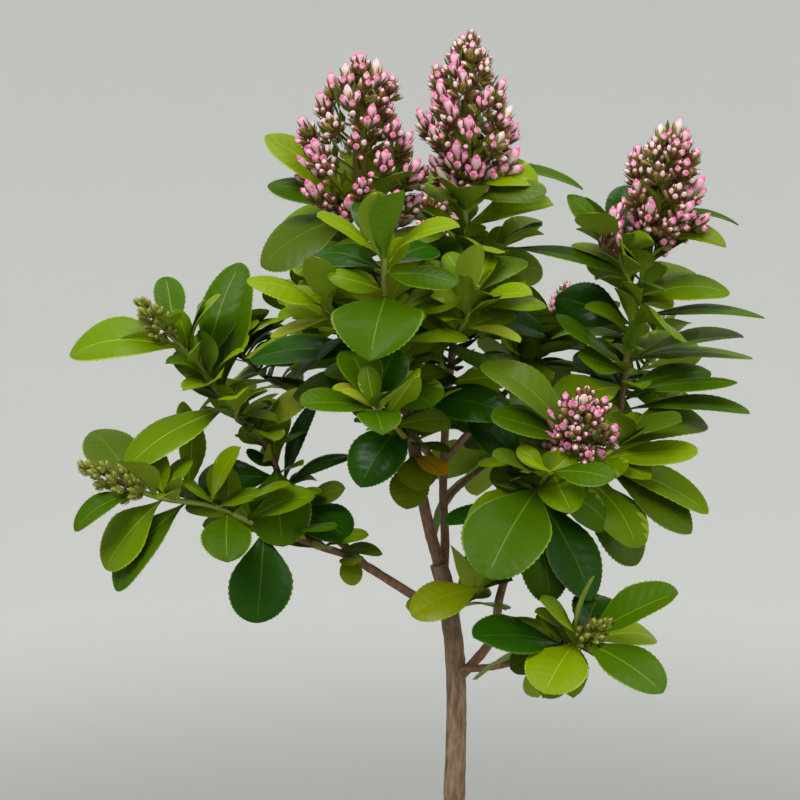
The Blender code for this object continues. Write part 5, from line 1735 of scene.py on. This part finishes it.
    def add_head(self, parts: Parts, root: Vector, head: Head, radius: float, draw: random.Random) -> None:
        """Adds one head: its stem, then its groups of buds in a spiral from its foot to its top.

        Args:
            parts: what it is gathered into.
            root: where it starts.
            head: the head.
            radius: its stem's radius.
            draw: where its differences come from.
        """
        axis = bearing(head.compass, head.rise)
        across = axis.orthogonal().normalized()
        pink = head.bloom is Bloom.PINK
        rings = [(level * head.length, head.width / 2 * cone_width(level) * self.heart_share)
                 for level in (0.10, 0.35, 0.65, 0.88)]
        rings = ((-radius, radius * 0.8), *rings, (head.length * 0.95, radius * 0.6))
        self.add_turned(parts, root, axis, rings, (Petal.HEART,) * (len(rings) - 1), 8)
        large, small = head.length > self.large_head, head.width < self.small_head
        many = self.sprays_for_each * (1.0 if large else self.sprays_for_low)
        group = (self.around, self.below)
        if not pink or small:
            many = self.sprays_for_small[0 if small else 1]
            group = (3, 0) if pink else (2, 0)
        count = round(head.sprays * many)
        for number in range(count):
            share = (number + 0.5) / count
            level = share ** 1.2
            depth = 0.94 if small else self.depths[number % len(self.depths)]
            close = 1 - level ** 14
            reach = head.width / 2 * cone_width(level) * depth * close * draw.uniform(0.90, 1.06)
            spoke = Quaternion(axis, math.radians(GOLDEN_ANGLE * number + draw.uniform(-9, 9))) @ across
            tip = root + axis * (head.length * level) + spoke * reach
            tip += axis * head.spray_length * mix(0.05, 0.35, level)
            lean = (spoke * mix(0.92, 0.26, level) * close + axis * mix(0.92, 1.3, level)
                    + Vector((draw.uniform(-0.12, 0.12), draw.uniform(-0.12, 0.12), 0.10))).normalized()
            inward = min(max((tip - root).dot(axis) - reach * 0.9, 0.0), head.length * 0.85)
            heart = root + axis * inward + spoke * (head.width * 0.5 * self.heart_share * cone_width(level))
            top = (0.42 if depth < self.inner_depth else mix(1.0, 0.62, level)) if pink else 0.3
            spray = Spray(tip, lean, heart, (top - 0.75, top), *group)
            self.add_spray(parts, spray, head.bloom, draw)
            if number % 2 == 0 or large:
                turned = Quaternion(axis, math.radians(40)) @ lean
                length = min(0.013, reach * 0.6) * draw.uniform(0.7, 1.1) + 0.002
                self.add_bract(parts, heart + (tip - heart) * 0.45, turned, length)

    def build(self) -> bpy.types.Object:
        """Builds the joined flower heads.

        Returns:
            The piece.
        """
        parts, draw = Parts(), random.Random(f"{SEED} blossom")
        named = []
        for grower in self.growers:
            for root, head, radius in grower.heads:
                self.add_head(parts, root, head, radius, draw)
                named.append(grower.mass.name)
        finishes = [BLOSSOM_FINISHES[petal].make() for petal in Petal]
        piece = parts.build("flower_heads", finishes, sharp=70.0)
        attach(piece, "root")
        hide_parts(*dict.fromkeys(named))
        LOG.info("flower heads: %d faces", len(parts.faces))
        return piece


@dataclass
class Wood:
    """The trunk and the boughs, with furrowed bark."""

    trunk_sides: int = 28
    bough_sides: int = 12

    def build(self) -> list[bpy.types.Object]:
        """Builds the trunk's piece and the boughs'.

        Returns:
            The pieces.
        """
        made = []
        parts = Parts()
        points, faces = fine_tube(limb_stem(LIMBS[0]), self.trunk_sides, 0.00035, 5)
        points[:self.trunk_sides, 2] = LIMBS[0].path[0][2]
        parts.add(points, faces, [0] * len(faces))
        trunk = parts.build("trunk_bark", [Mottled("trunk bark", (84, 62, 44), (150, 124, 96), 0.78,
                                                   (420.0, 420.0, 90.0), 0.8, 0.0008).make()], sharp=None)
        trunk.data.shade_smooth()
        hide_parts("trunk")
        made.append(trunk)
        parts = Parts()
        for limb in LIMBS[1:]:
            points, faces = fine_tube(limb_stem(limb), self.bough_sides, 0.00018, 2)
            parts.add(points, faces, [0] * len(faces))
        boughs = parts.build("bough_bark", [Mottled("bough bark", (96, 66, 46), (146, 108, 78), 0.70,
                                                    (500.0, 500.0, 220.0), 0.6, 0.0005).make()], sharp=None)
        boughs.data.shade_smooth()
        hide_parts(*(limb.name for limb in LIMBS[1:]))
        made.append(boughs)
        for piece in made:
            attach(piece, "root")
            LOG.info("%s: %d faces", piece.name, len(piece.data.polygons))
        return made


def deselect() -> None:
    """Leaves nothing selected."""
    if bpy.context.mode != "OBJECT":
        bpy.ops.object.mode_set(mode="OBJECT")
    bpy.ops.object.select_all(action="DESELECT")


def only(piece: bpy.types.Object) -> None:
    """Makes a piece the one selected and active object.

    Args:
        piece: the piece.
    """
    deselect()
    piece.select_set(True)
    bpy.context.view_layer.objects.active = piece


def apply_all(piece: bpy.types.Object) -> None:
    """Applies a piece's place and its modifiers.

    Args:
        piece: the piece.
    """
    only(piece)
    bpy.ops.object.transform_apply(location=True, rotation=True, scale=True)
    for modifier in list(piece.modifiers):
        bpy.ops.object.modifier_apply(modifier=modifier.name)


@dataclass
class NurseryPot:
    """The plain pot: tapered wall, stepped rim with a rolled lip, ribs near the foot and drain holes."""

    sides: int = 96
    lip: float = 0.0010

    def profile(self) -> list[tuple[float, float]]:
        """Gives the wall's section from the foot's centre, up outside, and down inside to the floor.

        Returns:
            Pairs of radius and height.
        """
        rim_foot = POT_HEIGHT - RIM_DEPTH
        below_rim = POT_RIM_RADIUS - RIM_STEP
        inner_top = below_rim - POT_WALL

        def outside(height: float) -> float:
            """Gives the wall's outer radius at a height below the rim."""
            return mix(POT_FOOT_RADIUS, below_rim, height / rim_foot)

        band = [(0.0, 0.0016), (POT_FOOT_RADIUS - 0.016, 0.0016), (POT_FOOT_RADIUS - 0.013, 0.0),
                (POT_FOOT_RADIUS - 0.0012, 0.0), (outside(0.0012), 0.0012)]
        for height in (0.020, 0.026, 0.070, 0.076):
            band += [(outside(height - 0.0006), height - 0.0006), (outside(height) + 0.0005, height),
                     (outside(height + 0.0014) + 0.0005, height + 0.0014),
                     (outside(height + 0.0020), height + 0.0020)]
        band += [(outside(rim_foot - 0.002), rim_foot - 0.002), (below_rim + 0.0006, rim_foot),
                 (POT_RIM_RADIUS - 0.0004, rim_foot + 0.0006), (POT_RIM_RADIUS, rim_foot + 0.0016),
                 (POT_RIM_RADIUS + 0.0006, POT_HEIGHT - 0.0030),
                 (POT_RIM_RADIUS + self.lip, POT_HEIGHT - 0.0012),
                 (POT_RIM_RADIUS + 0.0004, POT_HEIGHT), (POT_RIM_RADIUS - 0.0010, POT_HEIGHT),
                 (POT_RIM_RADIUS - 0.0022, POT_HEIGHT - 0.0012), (inner_top + 0.0006, rim_foot + 0.0030),
                 (inner_top, rim_foot), (POT_FOOT_RADIUS - POT_WALL, POT_FLOOR + 0.002),
                 (POT_FOOT_RADIUS - POT_WALL - 0.002, POT_FLOOR), (0.0, POT_FLOOR)]
        return band

    def build(self) -> bpy.types.Object:
        """Builds the pot: its section is spun round, and the drain holes are cut through its floor.

        Returns:
            The piece.
        """
        deselect()
        bpy.ops.mesh.primitive_plane_add(size=0.01)
        pot = bpy.context.object
        pot.name = pot.data.name = "nursery_pot"
        section = bmesh.new()
        corners = [section.verts.new((radius, 0.0, height)) for radius, height in self.profile()]
        for here, there in zip(corners, corners[1:]):
            section.edges.new((here, there))
        section.to_mesh(pot.data)
        section.free()
        bpy.ops.object.mode_set(mode="EDIT")
        bpy.ops.mesh.select_all(action="SELECT")
        bpy.ops.mesh.spin(steps=self.sides, angle=2 * math.pi, center=(0, 0, 0), axis=(0, 0, 1))
        bpy.ops.mesh.select_all(action="SELECT")
        bpy.ops.mesh.remove_doubles(threshold=0.00005)
        bpy.ops.mesh.normals_make_consistent(inside=False)
        bpy.ops.object.mode_set(mode="OBJECT")
        for drain in range(DRAINS):
            angle = 2 * math.pi * drain / DRAINS
            self.cut_drain(pot, (math.cos(angle) * DRAIN_RING_RADIUS, math.sin(angle) * DRAIN_RING_RADIUS))
        apply_all(pot)
        bpy.ops.object.shade_smooth_by_angle(angle=math.radians(35))
        pot.data.materials.clear()
        pot.data.materials.append(Mottled("pot plastic", (24, 24, 25), (38, 38, 39), 0.52,
                                          (900.0, 900.0, 900.0), 0.10, 0.0002, 2.0).make())
        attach(pot, "root")
        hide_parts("pot")
        LOG.info("nursery pot: %d faces", len(pot.data.polygons))
        return pot

    def cut_drain(self, pot: bpy.types.Object, place: tuple[float, float]) -> None:
        """Cuts one drain hole through the floor.

        Args:
            pot: the pot.
            place: the hole's middle, seen from above.
        """
        deselect()
        bpy.ops.mesh.primitive_cylinder_add(vertices=24, radius=DRAIN_RADIUS, depth=0.02,
                                            location=(*place, 0.0))
        hole = bpy.context.object
        only(hole)
        bpy.ops.object.transform_apply(location=True, rotation=True, scale=True)
        only(pot)
        cut = pot.modifiers.new("Drain hole", "BOOLEAN")
        cut.operation = "DIFFERENCE"
        cut.solver = "EXACT"
        cut.object = hole
        bpy.ops.object.modifier_apply(modifier=cut.name)
        bpy.data.objects.remove(hole)


@dataclass
class PottingMix:
    """The dark mix: an uneven surface with crumbs of bark and a few white grains."""

    rings: int = 26
    sides: int = 96
    crumbs: int = 420
    grains: int = 70

    def radius(self, height: float) -> float:
        """Gives the mix's radius inside the pot at a height."""
        wall = mix(POT_FOOT_RADIUS, POT_RIM_RADIUS - RIM_STEP, height / (POT_HEIGHT - RIM_DEPTH))
        return wall - POT_WALL - 2 * GAP

    def surface(self, x: float, y: float) -> float:
        """Works out the uneven surface of the mix, which sinks a little towards the pot's wall.

        Args:
            x: the place's first coordinate.
            y: its second one.

        Returns:
            The height there.
        """
        out = math.hypot(x, y) / self.radius(SOIL_TOP)
        rough = 0.0011 * noise.noise(Vector((x * 150, y * 150, 3.1))) + 0.0008 * noise.noise(
            Vector((x * 420, y * 420, 7.7)))
        return SOIL_TOP - 0.0012 - 0.0022 * out ** 2 + rough

    def lump(self, parts: Parts, draw: random.Random, size: float, slot: int) -> None:
        """Adds one crumb, bedded in the surface.

        Args:
            parts: what it is gathered into.
            draw: where its place and shape come from.
            size: half its length.
            slot: its material place.
        """
        out = math.sqrt(draw.random()) * (self.radius(SOIL_TOP) - 0.005)
        if slot == 0 and out < 0.012:
            out += 0.012
        turn = draw.uniform(0, 2 * math.pi)
        x, y = out * math.cos(turn), out * math.sin(turn)
        centre = Vector((x, y, self.surface(x, y)))
        axis = Vector((draw.uniform(-1, 1), draw.uniform(-1, 1), draw.uniform(0.0, 0.6))).normalized()
        rings = [(-size, size * 0.35), (-size * 0.4, size * draw.uniform(0.6, 0.9)),
                 (size * 0.4, size * draw.uniform(0.5, 0.9)), (size, size * 0.3)]
        points, faces = turned_on(centre, axis, rings, 5)
        ceiling = SOIL_TOP + 0.0022
        points = [Vector((p.x, p.y, min(p.z, ceiling))) for p in points]
        parts.add(np.array(points), faces, [slot] * len(faces))

    def build(self) -> bpy.types.Object:
        """Builds the mix.

        Returns:
            The piece.
        """
        parts, draw = Parts(), random.Random(f"{SEED} mix")
        bottom = POT_FLOOR + GAP
        points = [(0.0, 0.0, self.surface(0, 0))]
        for ring in range(1, self.rings + 1):
            out = self.radius(SOIL_TOP) * ring / self.rings - (0.0004 if ring == self.rings else 0)
            for side in range(self.sides):
                turn = 2 * math.pi * side / self.sides
                x, y = out * math.cos(turn), out * math.sin(turn)
                points.append((x, y, self.surface(x, y)))
        for side in range(self.sides):
            turn = 2 * math.pi * side / self.sides
            out = self.radius(bottom)
            points.append((out * math.cos(turn), out * math.sin(turn), bottom))
        points.append((0.0, 0.0, bottom))
        faces = fan_to_faces(self.rings + 1, self.sides)
        last = 1 + self.rings * self.sides
        for side in range(self.sides):
            faces.append((last + side, len(points) - 1, last + (side + 1) % self.sides))
        parts.add(np.array(points), faces, [0] * len(faces))
        for number in range(self.crumbs):
            self.lump(parts, draw, draw.uniform(0.0010, 0.0028), 1 + number % 2)
        for _ in range(self.grains):
            self.lump(parts, draw, draw.uniform(0.0008, 0.0016), 3)
        piece = parts.build("potting_mix", [
            Mottled("mix dark", (28, 20, 14), (64, 46, 32), 0.95, (300.0, 300.0, 300.0), 0.9, 0.0010).make(),
            Gloss("mix crumb brown", (58, 40, 27), 0.9, 1500.0, 0.5).make(),
            Gloss("mix crumb black", (34, 25, 19), 0.9, 1500.0, 0.5).make(),
            Gloss("mix white grain", (196, 192, 182), 0.85, 1500.0, 0.3).make()])
        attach(piece, "root")
        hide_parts("soil")
        LOG.info("potting mix: %d faces", len(parts.faces))
        return piece


@dataclass
class Studio:
    """A pale grey room, round on all sides, with painted shade darkening its floor towards the middle, soft
    light, and the camera.
    """

    floor_radius: float = 1.4
    wall_radius: float = 3.4
    wall_height: float = 4.2
    drop: float = 0.0002
    sides: int = 96

    def backdrop(self) -> bpy.types.Object:
        """Builds the floor that curves up into a wall. The floor is coloured darker towards its middle, as
        painted shade.

        Returns:
            The backdrop.
        """
        profile = [(0.0, 0.0), (0.4, 0.0), (self.floor_radius, 0.0)]
        bend = self.wall_radius - self.floor_radius
        for step in range(1, 13):
            angle = math.pi / 2 * step / 12
            profile.append((self.floor_radius + bend * math.sin(angle), bend * (1 - math.cos(angle))))
        profile.append((self.wall_radius, self.wall_height))
        points = [(0.0, 0.0, -self.drop)]
        for radius, height in profile[1:]:
            for side in range(self.sides):
                turn = 2 * math.pi * side / self.sides
                points.append((radius * math.cos(turn), radius * math.sin(turn), height - self.drop))
        faces = fan_to_faces(len(profile) - 1, self.sides)
        # Painted shade: the floor's colour darkens towards the middle, under the plant.
        made = add_mesh("backdrop", np.array(points), faces, [0] * len(faces),
                        [PaintedShadeFloor("backdrop grey", (143, 144, 141), (185, 186, 183), 0.85, 1.6).make()])
        return made

    def light(self) -> None:
        """Adds the room's own light and the lamps."""
        world = bpy.data.worlds.new("Studio")
        bpy.context.scene.world = world
        world.use_nodes = True
        shade = world.node_tree.nodes["Background"]
        shade.inputs["Color"].default_value = (1.0, 1.0, 0.99, 1.0)
        shade.inputs["Strength"].default_value = 0.92
        for name, place, size, power in (("Key", (-1.0, -1.3, 2.6), 1.3, 58.0),
                                         ("Fill", (1.9, -1.3, 1.5), 1.8, 24.0),
                                         ("Top", (0.2, 0.3, 3.0), 1.8, 42.0)):
            lamp = bpy.data.lights.new(name, "AREA")
            lamp.shape = "DISK"
            lamp.size = size
            lamp.energy = power
            made = bpy.data.objects.new(name, lamp)
            made.location = place
            aim = Vector((0.0, 0.0, 0.6)) - Vector(place)
            made.rotation_euler = aim.to_track_quat("-Z", "Y").to_euler()
            bpy.context.scene.collection.objects.link(made)

    def camera(self) -> None:
        """Adds the camera at the photograph's place."""
        data = bpy.data.cameras.new("Camera")
        data.lens = CAMERA_LENS
        data.sensor_width = CAMERA_SENSOR
        made = bpy.data.objects.new("Camera", data)
        rise = math.radians(CAMERA_RISE)
        target = Vector(CAMERA_TARGET)
        made.location = target + Vector((0.0, -math.cos(rise), math.sin(rise))) * CAMERA_DISTANCE
        made.rotation_euler = (target - made.location).to_track_quat("-Z", "Y").to_euler()
        bpy.context.scene.collection.objects.link(made)
        bpy.context.scene.camera = made


def grow_crown() -> list[Grower]:
    """Grows every mass by the rule of the solids, then fills its axils.

    Returns:
        The growers, one for each mass.
    """
    space = Space()
    for limb in LIMBS:
        space.add(limb.name, tube(limb_stem(limb), TRUNK_SIDES if limb.flare else BOUGH_SIDES))
    growers = [Grower(mass, space) for mass in MASSES]
    for grower in growers:
        grower.grow_stems()
    for grower in growers:
        grower.grow_seen()
    for grower in growers:
        grower.grow_rings()
    for grower in growers:
        grower.grow_axils()
    return growers


def main() -> None:
    """Builds the looks in order and reports each piece."""
    logging.basicConfig(level=logging.INFO, format="%(name)s: %(message)s")
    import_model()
    bpy.context.scene.view_settings.view_transform = "Standard"
    studio = Studio()
    studio.backdrop()
    studio.light()
    studio.camera()
    NurseryPot().build()
    PottingMix().build()
    Wood().build()
    growers = grow_crown()
    Foliage(growers).build()
    Twigs(growers).build()
    Blossom(growers).build()


if __name__ == "__main__":
    main()
